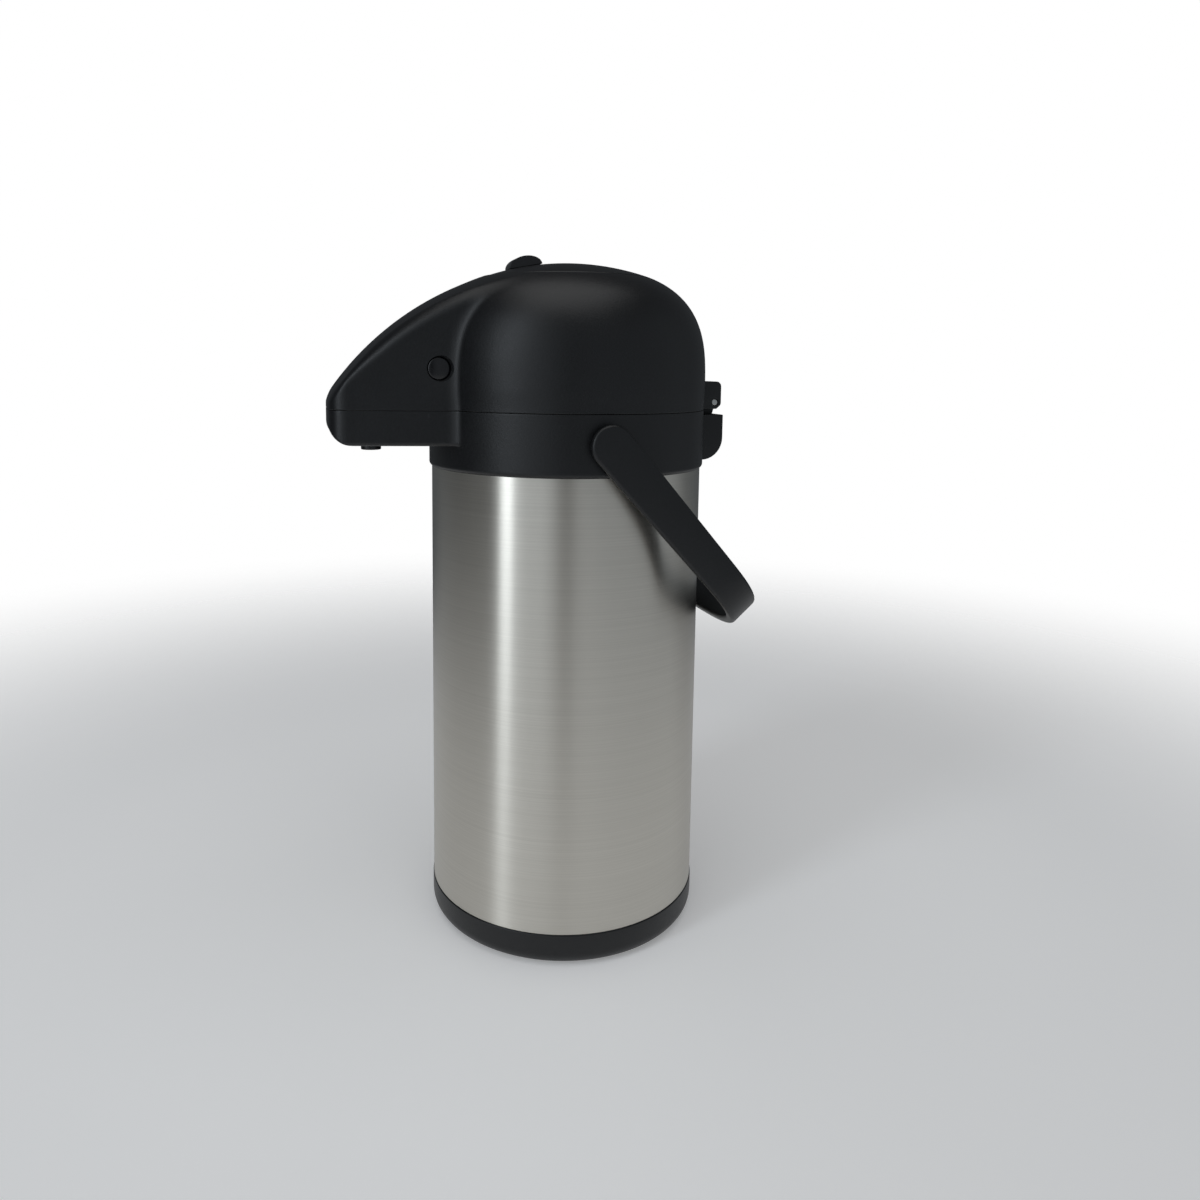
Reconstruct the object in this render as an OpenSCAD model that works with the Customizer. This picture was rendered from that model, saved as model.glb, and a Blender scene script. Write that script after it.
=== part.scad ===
// Push-button vacuum airpot: brushed steel body on a base ring, a moulded head with a
// beak spout, a push pad that pumps air with a bellows, and a bail handle.
// Millimetres. Origin: centre of the base, on the surface it stands on. +Z up, spout along -Y.

/* [Body] */
// Outer diameter of the brushed steel shell
shell_d = 156; // [154:0.5:157]
// Wall of the steel shell
shell_wall = 0.8; // [0.6:0.1:1.2]
// Height of the base ring that shows below the steel
base_h = 18.2; // [17:0.2:20]
// Height of steel between the base ring and the collar
steel_h = 245.8; // [230:0.2:260]

/* [Flask] */
// Outer diameter of the outer glass bottle
flask_d = 136; // [130:1:140]
// Thickness of the blown glass
glass_wall = 2; // [1.6:0.1:2.4]
// Vacuum gap between the two bottles
vacuum_gap = 3; // [2.5:0.5:4]
// Outer diameter of the flask's neck
flask_neck_d = 63; // [61:1:65]

/* [Head] */
// Outer diameter of the collar
collar_d = 159; // [158.5:0.5:160]
// Height of the collar from the steel to the lid seam
collar_h = 33.5; // [32:0.5:36]
// Open gap of the seam between collar and lid
seam_gap = 0.8; // [0.6:0.1:1.2]
// Wall of the head mouldings
head_wall = 2.4; // [2:0.1:2.8]
// Height of the dome's rim curve above the seam
dome_h = 80.7; // [78:0.1:84]
// Bulge of the dome at its widest, on the radius
dome_bulge = 0.5; // [0:0.1:1]

/* [Beak] */
// Reach of the beak's nose from the body's axis
beak_reach = 136; // [130:0.5:142]
// Half width of the beak where it leaves the body
beak_root_w = 39; // [36:0.5:42]
// Half width of the beak at its nose
beak_nose_w = 27; // [24:0.5:30]
// Depth of the beak below the lid seam
beak_depth = 18.8; // [17.5:0.1:20]
// Radius of the arc along the top of the beak
beak_top_r = 166.2; // [160:0.2:175]

/* [Push pad] */
// Diameter of the push pad
pad_d = 98.4; // [96:0.2:100]
// Travel of the push pad
pad_travel = 20; // [14:1:22]
// Radial gap round the pad
pad_gap = 0.5; // [0.4:0.1:0.8]
// Travel of the lock knob
lock_travel = 8; // [5:0.5:9]

/* [Latch] */
// Diameter of the lid release buttons
latch_button_d = 12; // [10:0.5:12.5]
// Travel of each release button
latch_travel = 3; // [2:0.25:3.5]

/* [Hinge] */
// Diameter of the lid's hinge pin
hinge_pin_d = 4; // [3:0.5:4]
// Width across the hinge lug and bracket
hinge_w = 34; // [30:1:40]

/* [Handle] */
// Half width across the outside of the handle's arms
handle_half_w = 87; // [86.5:0.5:89]
// Reach of the handle from its pivots to the outside of its grip
handle_reach = 136; // [134:0.5:140]
// Angle of the hanging handle below level
handle_droop = 48.5; // [48:0.1:49]
// Thickness of the handle's arms
handle_arm_t = 4.5; // [4:0.1:4.6]
// Thickness of the handle's grip
handle_grip_t = 6.2; // [5:0.1:6.4]
// Diameter of the handle's pivot pegs
peg_d = 10; // [8:0.5:11]

/* [Hidden] */
$fn = 96;
eps = 0.01;

plastic = "#22262b";
rubber = "#151515";
steel = "#b9b6b0";
glass = "#cfd6d8";
ivory = "#d8d4c8";

collar_z = base_h + steel_h;
seam_z = collar_z + collar_h;
collar_top = seam_z - seam_gap / 2;
lid_z = seam_z + seam_gap / 2;
collar_r = collar_d / 2;
shell_r = shell_d / 2;

// The deck across the collar, and what stands on it
deck_t = 2.2;
deck_z = seam_z - 6;
deck_hole_r = 46.5;
flange_z = deck_z + deck_t;
flange_t = 2;
rim_z = seam_z - 0.9;
funnel_screw_r = 54;

// The flask stands in its cushion and ends just above the steel
flask_r = flask_d / 2;
flask_z = 15;
lip_z = collar_z + 4;
neck_r = flask_neck_d / 2;
inner_step = glass_wall + vacuum_gap;
bore_step = inner_step + glass_wall;
bottle_rim_z = lip_z - glass_wall;
shoulder_z = bottle_rim_z - 53;
inner_neck_r = neck_r - glass_wall - 0.6;
gasket_t = 2.5;

// The way of the coffee: up the dip tube, through the elbow and hose, down the nozzle
tube_y = -17;
tube_r = 4;
tube_bore = 3;
spout_z = seam_z - 11.3;
tube_foot_z = flask_z + 11;
tube_top_z = spout_z - 9;
spout_bore = 2.2;
barb_r = 3.2;
hose_r = 4.8;
hose_from = -49;
nozzle_y = -112.5;
nozzle_flange_r = 8;
nozzle_drop = 4;

// The dome's rim curve is a superellipse of these two powers
dome_belt = 13.5;
dome_n_r = 2.72;
dome_n_z = 2.92;
pad_r = pad_d / 2;
opening_r = pad_r + pad_gap;
pad_edge_z = lid_z + 72.6;
pad_crown = 8.6;
pad_crown_r = (pad_r * pad_r + pad_crown * pad_crown) / (2 * pad_crown);
pad_skirt = pad_travel + 4;
plate_z = lid_z + 1.6;
plate_t = 2.4;
plate_top = plate_z + plate_t;
bellows_top = pad_edge_z - 7;
lid_screw_r = 70;
lid_screw_angles = [35, 145, 235, 305];

// The beak's top is one arc round this centre, given by reach and height
beak_top_s = -2.6;
beak_top_z = seam_z - 84;
beak_corner = 11;
beak_crown_r = 125;
beak_floor_z = seam_z - beak_depth;
latch_s = 79.5;
latch_z = seam_z + 22.2;
latch_x = 29;
ledge_z = seam_z - 3.6;

hinge_y = 86.8;
hinge_z = seam_z + 3.1;
lug_r = 3.9;
lug_top = seam_z + 16;
pin_clear = 0.06;
tongue_w = 18;

pivot_z = seam_z - 16.5;
arm_half = 11.2;
grip_half = 8.8;
handle_straight = 92;
bow_n_x = 3.1;
bow_n_d = 2.5;
peg_clear = 0.08;
knob_s = 26;
knob_tilt = 11;

// Points on an arc of radius r round c, from angle a to angle b
function arc(c, r, a, b, n = 8) =
    [for (i = [0 : n]) c + r * [cos(a + (b - a) * i / n), sin(a + (b - a) * i / n)]];

function reversed(list) = [for (i = [len(list) - 1 : -1 : 0]) list[i]];

// Points on a superellipse quarter with half axes r and h above z, short of its pole
function rim_curve(r, h, z, n = 22) =
    [for (i = [0 : n])
        let (t = 90 * i / n, p = [r * pow(cos(t), 2 / dome_n_r), z + h * pow(sin(t), 2 / dome_n_z)])
        if (p[0] > 0.4) p];

// Outlines of the flask from the foot up, set in by w: foot and heel, then shoulder
function heel(w) = concat([[0, flask_z + w]], arc([flask_r - 25, flask_z + 25], 25 - w, -90, 0));
function shoulder(w) = arc([flask_r - 33, shoulder_z], 33 - w, 0, 72);

// Outline of a neck of radius r that straightens at z, up to the rim of the outer bottle
function throat(r, z) = [[r + 1.5, z - 3], [r, z], [r, bottle_rim_z]];

// Half width of the beak at a reach s
function beak_w(s) =
    beak_root_w + (beak_nose_w - beak_root_w) * (s - 60) / (beak_reach - beak_corner - 60);

// Half plan of the beak, set in by a wall, from a reach of s0 to its rounded nose
function beak_half_plan(s0, inset = 0) =
    concat([[beak_w(s0) - inset, -s0]],
        [for (p = arc([beak_nose_w - beak_corner, beak_reach - beak_corner],
            beak_corner - inset, 0, 90)) [p[0], -p[1]]]);

function beak_plan(s0, inset = 0) =
    let (half = beak_half_plan(s0, inset))
    concat(half, [for (p = reversed(half)) [-p[0], p[1]]]);

module beak_column(s0, inset, z0, z1) {
    translate([0, 0, z0]) linear_extrude(z1 - z0) polygon(beak_plan(s0, inset));
}

// Extrudes a side outline of [reach, height] points across the whole width
module side_profile(points, half_w) {
    rotate([90, 0, -90]) translate([0, 0, -half_w]) linear_extrude(2 * half_w) polygon(points);
}

module ring(outer, inner, z, h) {
    translate([0, 0, z]) difference() {
        cylinder(r = outer, h = h);
        translate([0, 0, -1]) cylinder(r = inner, h = h + 2);
    }
}

// A screw with a pan head, head at z = 0 and shank down
module screw(head_r, head_h, shank_r, shank_h) {
    cylinder(r = head_r, h = head_h, $fn = 32);
    translate([0, 0, -shank_h]) cylinder(r = shank_r, h = shank_h + eps, $fn = 32);
}

// A coil spring along +Z, swept as a six-sided wire
module coil(r, wire, h, turns) {
    sides = 6;
    steps = 14 * turns;
    points = [for (i = [0 : steps], k = [0 : sides - 1])
        let (a = 360 * turns * i / steps, b = 360 * k / sides, q = r + wire * cos(b))
        [q * cos(a), q * sin(a), wire + (h - 2 * wire) * i / steps + wire * sin(b)]];
    walls = [for (i = [0 : steps - 1], k = [0 : sides - 1])
        let (m = (k + 1) % sides, p = i * sides)
        each [[p + k, p + m, p + sides + m], [p + k, p + sides + m, p + sides + k]]];
    start = [[for (k = [sides - 1 : -1 : 0]) k]];
    end = [[for (k = [0 : sides - 1]) steps * sides + k]];
    polyhedron(points, [for (f = concat(walls, start, end)) reversed(f)]);
}

// ---- Base ----

module base_ring() {
    spigot_r = shell_r - shell_wall - 0.1;
    color(plastic) difference() {
        rotate_extrude() polygon(concat(
            [[67, 0]],
            arc([shell_r - 7.6, 8], 8, -90, 0),
            [[shell_r + 0.4, base_h], [spigot_r, base_h], [spigot_r, base_h + 7],
             [spigot_r - 2, base_h + 7], [spigot_r - 2, 8], [57, 8], [57, 4.4], [67, 4.4]]));
        for (a = [45 : 90 : 315]) rotate([0, 0, a]) translate([61.5, 0, 0])
            cylinder(r = 1.7, h = 12, $fn = 32);
    }
}

module base_plate() {
    color(plastic) difference() {
        union() {
            cylinder(r = 66.7, h = 3.8);
            ring(46, 43.5, 3, 6);
        }
        for (a = [45 : 90 : 315]) rotate([0, 0, a]) translate([61.5, 0, 0]) {
            translate([0, 0, -1]) cylinder(r = 1.9, h = 8, $fn = 32);
            translate([0, 0, -1]) cylinder(r = 3.6, h = 3, $fn = 32);
        }
    }
}

module base_screws() {
    color(steel) for (a = [45 : 90 : 315]) rotate([0, 0, a]) translate([61.5, 0, 2])
        mirror([0, 0, 1]) screw(3.2, 1.4, 1.6, 7.5);
}

module flask_cushion() {
    color(rubber) rotate_extrude() polygon(concat(
        [[20, 3.9], [43.3, 3.9], [43.3, 9.2], [58, 9.2], [62, 22]],
        [for (p = reversed(arc([flask_r - 25, flask_z + 25], 25.2, -90, -52))) p],
        [[20, flask_z - 0.2]]));
}

module steel_shell() {
    color(steel) ring(shell_r, shell_r - shell_wall, base_h, steel_h + 5);
}

// ---- Vacuum flask ----

module flask_outer_bottle() {
    color(glass) rotate_extrude() polygon(concat(
        heel(0), shoulder(0), throat(neck_r, bottle_rim_z - 14),
        reversed(throat(neck_r - glass_wall, bottle_rim_z - 15)),
        reversed(shoulder(glass_wall)), reversed(heel(glass_wall))));
}

// The inner bottle is one blown piece, given as three nodes that meet face to face
module flask_inner_bottle() {
    color(glass) rotate_extrude() polygon(concat(
        heel(inner_step), [[flask_r - inner_step, shoulder_z], [flask_r - bore_step, shoulder_z]],
        reversed(heel(bore_step))));
}

module flask_inner_shoulder() {
    color(glass) rotate_extrude() polygon(concat(
        shoulder(inner_step), reversed(shoulder(bore_step))));
}

module flask_inner_neck() {
    outer_end = shoulder(inner_step);
    inner_end = shoulder(bore_step);
    color(glass) rotate_extrude() polygon(concat(
        [outer_end[len(outer_end) - 1]], throat(inner_neck_r, bottle_rim_z - 18),
        [[neck_r, bottle_rim_z], [neck_r, lip_z], [inner_neck_r - glass_wall, lip_z]],
        reversed(throat(inner_neck_r - glass_wall, bottle_rim_z - 19)),
        [inner_end[len(inner_end) - 1]]));
}

module neck_gasket() {
    color(rubber) ring(neck_r + 1, neck_r - 4, lip_z, gasket_t);
}

// ---- Collar and pouring funnel ----

module pouring_funnel() {
    seat_z = lip_z + gasket_t;
    color(plastic) difference() {
        rotate_extrude() polygon([
            [24, lip_z - 6], [26, lip_z - 6], [26, seat_z], [33, seat_z], [33, seat_z + 7],
            [43.4, deck_z - 1], [45.6, flange_z], [60, flange_z], [60, flange_z + flange_t],
            [47, flange_z + flange_t], [47, rim_z], [44, rim_z], [41, deck_z], [24, lip_z + 4]]);
        translate([0, 0, spout_z]) rotate([90, 0, 0]) cylinder(r = 4.3, h = 60);
        for (a = [45 : 90 : 315]) rotate([0, 0, a]) translate([funnel_screw_r, 0, flange_z - 1])
            cylinder(r = 1.7, h = 5, $fn = 32);
    }
}

module funnel_screws() {
    color(steel) for (a = [45 : 90 : 315]) rotate([0, 0, a])
        translate([funnel_screw_r, 0, flange_z + flange_t]) screw(3, 1.3, 1.5, 9);
}

module collar_outside() {
    rotate_extrude() polygon(concat(
        [[0, collar_z], [collar_r - 2.2, collar_z]],
        arc([collar_r - 2.2, collar_z + 2.2], 2.2, -90, 0),
        [[collar_r, collar_top], [0, collar_top]]));
    intersection() {
        beak_column(50, 0, beak_floor_z, collar_top);
        side_profile(concat(
            [[40, collar_top + 1], [40, beak_floor_z]],
            arc([beak_reach - 12, beak_floor_z + 12], 12, -90, 0),
            [[beak_reach, collar_top + 1]]), 60);
    }
}

module collar_inside() {
    translate([0, 0, collar_z - 1]) cylinder(r = shell_r + 0.1, h = 6);
    translate([0, 0, collar_z]) cylinder(r = collar_r - head_wall, h = deck_z - collar_z);
    translate([0, 0, flange_z]) cylinder(r = collar_r - head_wall, h = 20);
    translate([0, 0, collar_z]) cylinder(r = deck_hole_r, h = 60);
    intersection() {
        beak_column(62, head_wall, beak_floor_z + head_wall, collar_top + 5);
        side_profile(concat(
            [[50, collar_top + 5], [50, beak_floor_z + head_wall]],
            arc([beak_reach - 12, beak_floor_z + 12], 12 - head_wall, -90, 0),
            [[beak_reach - head_wall, collar_top + 5]]), 60);
    }
}

module collar() {
    color(plastic) difference() {
        union() {
            difference() {
                collar_outside();
                collar_inside();
            }
            // Bosses for the funnel's screws and for the handle's pivots
            for (a = [45 : 90 : 315]) rotate([0, 0, a]) translate([funnel_screw_r, 0, deck_z - 10])
                cylinder(r = 3.6, h = 10 + eps, $fn = 32);
            for (side = [-1, 1]) translate([side * 78, 0, pivot_z]) rotate([0, 90, 0])
                translate([0, 0, -4.1]) cylinder(r = 9, h = 8.2);
            // Ledges that the latch hooks face
            for (side = [-1, 1])
                translate([side * 33.2 - 1.3, -latch_s - 6, ledge_z]) cube([2.6, 12, 2]);
        }
        for (a = [45 : 90 : 315]) rotate([0, 0, a]) translate([funnel_screw_r, 0, deck_z - 9])
            cylinder(r = 1.55, h = 14, $fn = 32);
        translate([-100, 0, pivot_z]) rotate([0, 90, 0])
            cylinder(r = peg_d / 2 + peg_clear, h = 200);
        translate([0, nozzle_y, beak_floor_z - 1]) cylinder(r = 5.6, h = 6);
        for (x = [-10, 10]) translate([x, 72, seam_z - 19]) rotate([-90, 0, 0])
            cylinder(r = 1.7, h = 12, $fn = 32);
    }
}

// ---- Coffee way ----

module dip_tube() {
    color(ivory) translate([0, tube_y, 0]) ring(tube_r, tube_bore, tube_foot_z, tube_top_z - tube_foot_z);
}

module tube_elbow() {
    end = -hose_from + 7;
    color(plastic) difference() {
        union() {
            translate([0, tube_y, spout_z - 14]) cylinder(r = 5.6, h = 18.8);
            translate([0, tube_y, spout_z]) rotate([90, 0, 0]) cylinder(r = 4.2, h = 31.5);
            translate([0, tube_y, spout_z]) rotate([90, 0, 0]) cylinder(r = barb_r, h = end + tube_y);
        }
        translate([0, tube_y, spout_z - 15]) cylinder(r = tube_r + 0.05, h = tube_top_z - spout_z + 15.1);
        translate([0, tube_y, spout_z - 15]) cylinder(r = spout_bore, h = 15);
        translate([0, tube_y, spout_z]) sphere(r = spout_bore);
        translate([0, tube_y, spout_z]) rotate([90, 0, 0]) cylinder(r = spout_bore, h = 60);
    }
}

module elbow_seal() {
    color(rubber) translate([0, -44.2, spout_z]) rotate([90, 0, 0]) ring(5, 4.25, 0, 2.4);
}

module spout_hose() {
    color(ivory) translate([0, hose_from, spout_z]) rotate([90, 0, 0])
        ring(hose_r, barb_r + 0.05, 0, hose_from - nozzle_y - nozzle_flange_r - 0.6);
}

module spout_nozzle() {
    floor_in = beak_floor_z + head_wall;
    color(plastic) difference() {
        union() {
            translate([0, nozzle_y, beak_floor_z - nozzle_drop]) cylinder(r = 5.5, h = nozzle_drop + 13);
            translate([0, nozzle_y, floor_in]) cylinder(r = nozzle_flange_r, h = 1.6);
            translate([0, nozzle_y, spout_z]) rotate([-90, 0, 0]) cylinder(r = barb_r, h = 12);
        }
        translate([0, nozzle_y, beak_floor_z - nozzle_drop - 1])
            cylinder(r = 3.4, h = spout_z - beak_floor_z + nozzle_drop + 1);
        translate([0, nozzle_y, spout_z]) rotate([-90, 0, 0]) cylinder(r = spout_bore, h = 20);
    }
}

// ---- Hinge ----

module hinge_bracket() {
    top = seam_z - 3.6;
    back = 92.3;
    color(plastic) difference() {
        union() {
            side_profile(concat(
                [[-78, top], [-78, seam_z - 31]],
                [for (p = arc([back - 13, seam_z - 17.5], 13, -90, 0)) [-p[0], p[1]]],
                [[-back, top]]), hinge_w / 2);
            side_profile([[-83.1, top - 1], [-88.4, top - 1], [-88.4, hinge_z], [-83.1, hinge_z]],
                tongue_w / 2);
            translate([-tongue_w / 2, hinge_y, hinge_z]) rotate([0, 90, 0])
                cylinder(r = lug_r, h = tongue_w);
        }
        translate([0, 0, collar_z - 5]) cylinder(r = collar_r + 0.02, h = 60);
        translate([-30, hinge_y, hinge_z]) rotate([0, 90, 0])
            cylinder(r = hinge_pin_d / 2 + 0.02, h = 60);
        for (x = [-10, 10]) translate([x, 78, seam_z - 19]) rotate([-90, 0, 0])
            cylinder(r = 1.55, h = 10, $fn = 32);
    }
}

module hinge_screws() {
    inner = sqrt(pow(collar_r - head_wall, 2) - 100) - 1.2;
    color(steel) for (x = [-10, 10]) translate([x, inner, seam_z - 19]) rotate([90, 0, 0])
        screw(3, 1.4, 1.5, 11);
}

module hinge_pin() {
    color(steel) translate([-hinge_w / 2 + 0.3, hinge_y, hinge_z]) rotate([0, 90, 0])
        cylinder(r = hinge_pin_d / 2, h = hinge_w - 0.6);
}

// ---- Handle ----

// Half of the bow's outline in the handle's own plane: [across, along] from arm to middle
function bow(half_w, reach, n = 20) =
    [for (i = [0 : n]) let (t = 90 * i / n)
        [half_w * pow(cos(t), 2 / bow_n_x),
         handle_straight + (reach - handle_straight) * pow(sin(t), 2 / bow_n_d)]];

function bow_outline(half_w, reach) =
    let (half = concat([[half_w, -arm_half]], bow(half_w, reach)))
    concat(half, [for (p = reversed(half)) if (p[0] > 0.01) [-p[0], p[1]]]);

module handle() {
    inner_w = handle_half_w - handle_arm_t;
    peg_from = 72;
    color(plastic) translate([0, 0, pivot_z]) {
        rotate([-handle_droop, 0, 0]) intersection() {
            translate([0, 0, -arm_half]) linear_extrude(2 * arm_half) polygon(concat(
                bow_outline(handle_half_w, handle_reach),
                reversed(bow_outline(inner_w, handle_reach - handle_grip_t))));
            union() {
                translate([-100, 0, 0]) rotate([0, 90, 0]) cylinder(r = arm_half, h = 200);
                rotate([90, 0, 90]) translate([0, 0, -100]) linear_extrude(200) polygon([
                    [0, -arm_half], [handle_reach + 1, -grip_half],
                    [handle_reach + 1, grip_half], [0, arm_half]]);
            }
        }
        for (side = [-1, 1]) difference() {
            translate([side * (inner_w + peg_from + 1) / 2, 0, 0]) rotate([0, 90, 0])
                translate([0, 0, -(inner_w + 1 - peg_from) / 2])
                cylinder(r = peg_d / 2, h = inner_w + 1 - peg_from);
            translate([side * 73.2, 0, 0]) rotate([0, 90, 0]) translate([0, 0, -0.6])
                ring(peg_d, peg_d / 2 - 1, 0, 1.2);
        }
    }
}

module handle_clips() {
    color(steel) for (side = [-1, 1]) translate([side * 73.2, 0, pivot_z]) rotate([0, 90, 0])
        ring(peg_d / 2 + 2.5, peg_d / 2 - 0.95, -0.5, 1);
}

// ---- Lid ----

module dome_outside(inset = 0) {
    r = collar_r + dome_bulge - inset;
    h = dome_h - dome_belt - inset;
    rotate_extrude() polygon(concat(
        [[0, lid_z], [collar_r - inset, lid_z]],
        rim_curve(r, h, seam_z + dome_belt),
        [[0, seam_z + dome_belt + h]]));
}

// The beak's top: an arc from nose to dome, swept round beak_top_s with a crowned section
module beak_upper(inset, z0) {
    r = beak_top_r - inset;
    crown = [for (x = [-45 : 5 : 45]) [r - beak_crown_r + sqrt(beak_crown_r * beak_crown_r - x * x), x]];
    intersection() {
        beak_column(inset > 0 ? 62 : 30, inset, z0, seam_z + 90);
        translate([0, -beak_top_s, beak_top_z]) rotate([0, 90, 0])
            rotate_extrude() polygon(concat([[0, -45]], crown, [[0, 45]]));
    }
}

module hinge_lug() {
    difference() {
        side_profile(concat(
            [[-74, lid_z], [-hinge_y + lug_r, lid_z]],
            [for (p = arc([hinge_y, hinge_z], lug_r, -135, 0)) [-p[0], p[1]]],
            [for (p = arc([hinge_y + lug_r - 3, lug_top - 3], 3, 0, 90)) [-p[0], p[1]]],
            [[-74, lug_top]]), hinge_w / 2);
        translate([-tongue_w / 2 - 0.4, 82.3, seam_z - 5]) cube([tongue_w + 0.8, 12, 12.6]);
    }
}

module lid_shell() {
    guide_z = plate_top + 20;
    color(plastic) difference() {
        union() {
            difference() {
                union() {
                    dome_outside();
                    intersection() {
                        beak_upper(0, lid_z);
                        translate([0, 0, lid_z]) cylinder(r = 200, h = dome_h - seam_gap / 2 - 2);
                    }
                    hinge_lug();
                }
                translate([0, 0, -eps]) dome_outside(head_wall);
                beak_upper(head_wall, lid_z - 2);
            }
            // Guide that the push pad runs in
            intersection() {
                ring(opening_r + 2, opening_r, guide_z, 80);
                dome_outside();
            }
            // Bosses for the lid plate's screws, each on a rib to the wall
            for (a = lid_screw_angles) rotate([0, 0, a]) translate([lid_screw_r, 0, plate_top]) {
                cylinder(r = 3.6, h = 26, $fn = 32);
                translate([0, -1, 0]) cube([collar_r - lid_screw_r - 1.2, 2, 26]);
            }
            // Guides of the release buttons
            for (side = [-1, 1]) translate([side * 33, -latch_s, latch_z]) rotate([0, 90, 0])
                translate([0, 0, -1.5]) cylinder(r = latch_button_d / 2 + 2, h = 3);
        }
        translate([0, 0, seam_z + 20]) cylinder(r = opening_r, h = 80);
        translate([-60, -latch_s, latch_z]) rotate([0, 90, 0])
            cylinder(r = latch_button_d / 2 + 0.3, h = 120);
        for (side = [-1, 1]) translate([side * 14, hinge_y, hinge_z]) rotate([0, 90, 0])
            translate([0, 0, -6]) cylinder(r = hinge_pin_d / 2 + pin_clear, h = 12);
        for (a = lid_screw_angles) rotate([0, 0, a]) translate([lid_screw_r, 0, plate_top - 1])
            cylinder(r = 1.55, h = 22, $fn = 32);
    }
}

module lid_plate() {
    color(plastic) difference() {
        union() {
            translate([0, 0, plate_z]) cylinder(r = collar_r - head_wall - 0.4, h = plate_t);
            beak_column(40, head_wall + 0.4, plate_z, plate_top);
            ring(26, 23.6, plate_z, plate_t + 8);
            // Post between the two release springs
            translate([-3, -latch_s - 5, plate_z]) cube([6, 10, latch_z - plate_z + 5]);
        }
        translate([0, 0, plate_z - 1]) cylinder(r = 4, h = 10);
        for (side = [-1, 1]) translate([side * (latch_x - latch_travel / 2), -latch_s, plate_z])
            cube([latch_travel + 8, 12, 6], center = true);
        for (a = lid_screw_angles) rotate([0, 0, a]) translate([lid_screw_r, 0, plate_z - 1])
            cylinder(r = 1.8, h = 6, $fn = 32);
    }
}

module lid_screws() {
    color(steel) for (a = lid_screw_angles) rotate([0, 0, a])
        translate([lid_screw_r, 0, plate_z]) mirror([0, 0, 1]) screw(3, 1.3, 1.5, 14);
}

module lid_gasket() {
    color(rubber) rotate_extrude() polygon([
        [36, plate_z], [36, plate_z - 1.2], [42, rim_z + 0.3], [49, rim_z + 0.3], [50, plate_z]]);
}

module air_valve() {
    color(rubber) union() {
        translate([0, 0, plate_top + 0.05]) cylinder(r = 8, h = 1.4);
        translate([0, 0, plate_z - 2]) cylinder(r = 3.2, h = plate_t + 3);
        translate([0, 0, plate_z - 3.4]) cylinder(r = 5, h = 1.6);
    }
}

// ---- Pump ----

module bellows() {
    base = plate_top + 0.05;
    folds = 5;
    pitch = (bellows_top - base) / folds;
    outer = 43;
    depth = 7;
    wall = 1.3;
    side = [for (i = [0 : 2 * folds]) [outer - (i % 2) * depth, base + i * pitch / 2]];
    color(rubber) rotate_extrude() polygon(concat(
        side, reversed([for (p = side) [p[0] - wall * 1.6, p[1]]])));
}

module bellows_spring() {
    color(steel) translate([0, 0, plate_top + 0.1])
        coil(21, 1.1, bellows_top - plate_top - 0.2, 6);
}

module bellows_plate() {
    color(ivory) difference() {
        union() {
            translate([0, 0, bellows_top]) cylinder(r = 44, h = 2);
            ring(24.5, 22.6, bellows_top - 6, 7);
        }
        translate([0, 0, bellows_top - 1]) cylinder(r = 2.5, h = 5);
    }
}

module pad_crown_solid(drop) {
    intersection() {
        translate([0, 0, pad_edge_z + pad_crown - pad_crown_r]) sphere(r = pad_crown_r - drop);
        translate([0, 0, pad_edge_z - pad_skirt]) cylinder(r = pad_r - drop, h = pad_skirt + 20);
    }
}

// Places its children in the frame of the lock knob, tilted with the crown
module knob_frame() {
    surface = pad_edge_z + pad_crown - pad_crown_r + sqrt(pad_crown_r * pad_crown_r - knob_s * knob_s);
    translate([0, -knob_s, surface]) rotate([knob_tilt, 0, 0]) children();
}

module push_pad() {
    color(plastic) difference() {
        pad_crown_solid(0);
        difference() {
            pad_crown_solid(3);
            for (a = [0 : 60 : 300]) rotate([0, 0, a]) translate([22, -1, bellows_top + 2.02])
                cube([26, 2, 20]);
        }
        knob_frame() {
            translate([-7.2, -19.6, -0.4]) cube([14.4, 31.2, 10]);
            translate([-2.8, -5.4 - lock_travel, -8]) cube([5.6, 10.8 + lock_travel, 10]);
        }
    }
}

module lock_knob() {
    color("#0c0c0d") knob_frame() union() {
        translate([-6.5, 0, 0]) rotate([90, 0, 90]) linear_extrude(13) polygon(concat(
            [[-9.5, -0.1], [9.5, -0.1]],
            [for (t = [6 : 12 : 174]) [9.5 * cos(t), 5.8 * sin(t)]]));
        translate([-2.5, -5, -4.6]) cube([5, 10, 5]);
    }
}

module lock_foot() {
    color(ivory) knob_frame() translate([-5.5, -8, -6.1]) cube([11, 16, 1.5]);
}

// ---- Lid release ----

module latch_button(side) {
    stem = 6.7;
    color(plastic) mirror([side < 0 ? 1 : 0, 0, 0]) union() {
        translate([latch_x, -latch_s, latch_z]) rotate([0, 90, 0])
            cylinder(r = latch_button_d / 2, h = stem);
        translate([latch_x - 2, -latch_s - 4.5, ledge_z - 3]) cube([2.02, 9, latch_z - ledge_z + 10]);
        translate([latch_x - 2, -latch_s - 4.5, ledge_z - 3]) cube([4.4, 9, 2.2]);
        translate([latch_x - 5, -latch_s, latch_z]) rotate([0, 90, 0]) cylinder(r = 2, h = 4);
    }
}

module latch_spring(side) {
    color(steel) mirror([side < 0 ? 1 : 0, 0, 0]) translate([3.05, -latch_s, latch_z])
        rotate([0, 90, 0]) coil(3.3, 0.4, latch_x - 5.1, 8);
}

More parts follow.
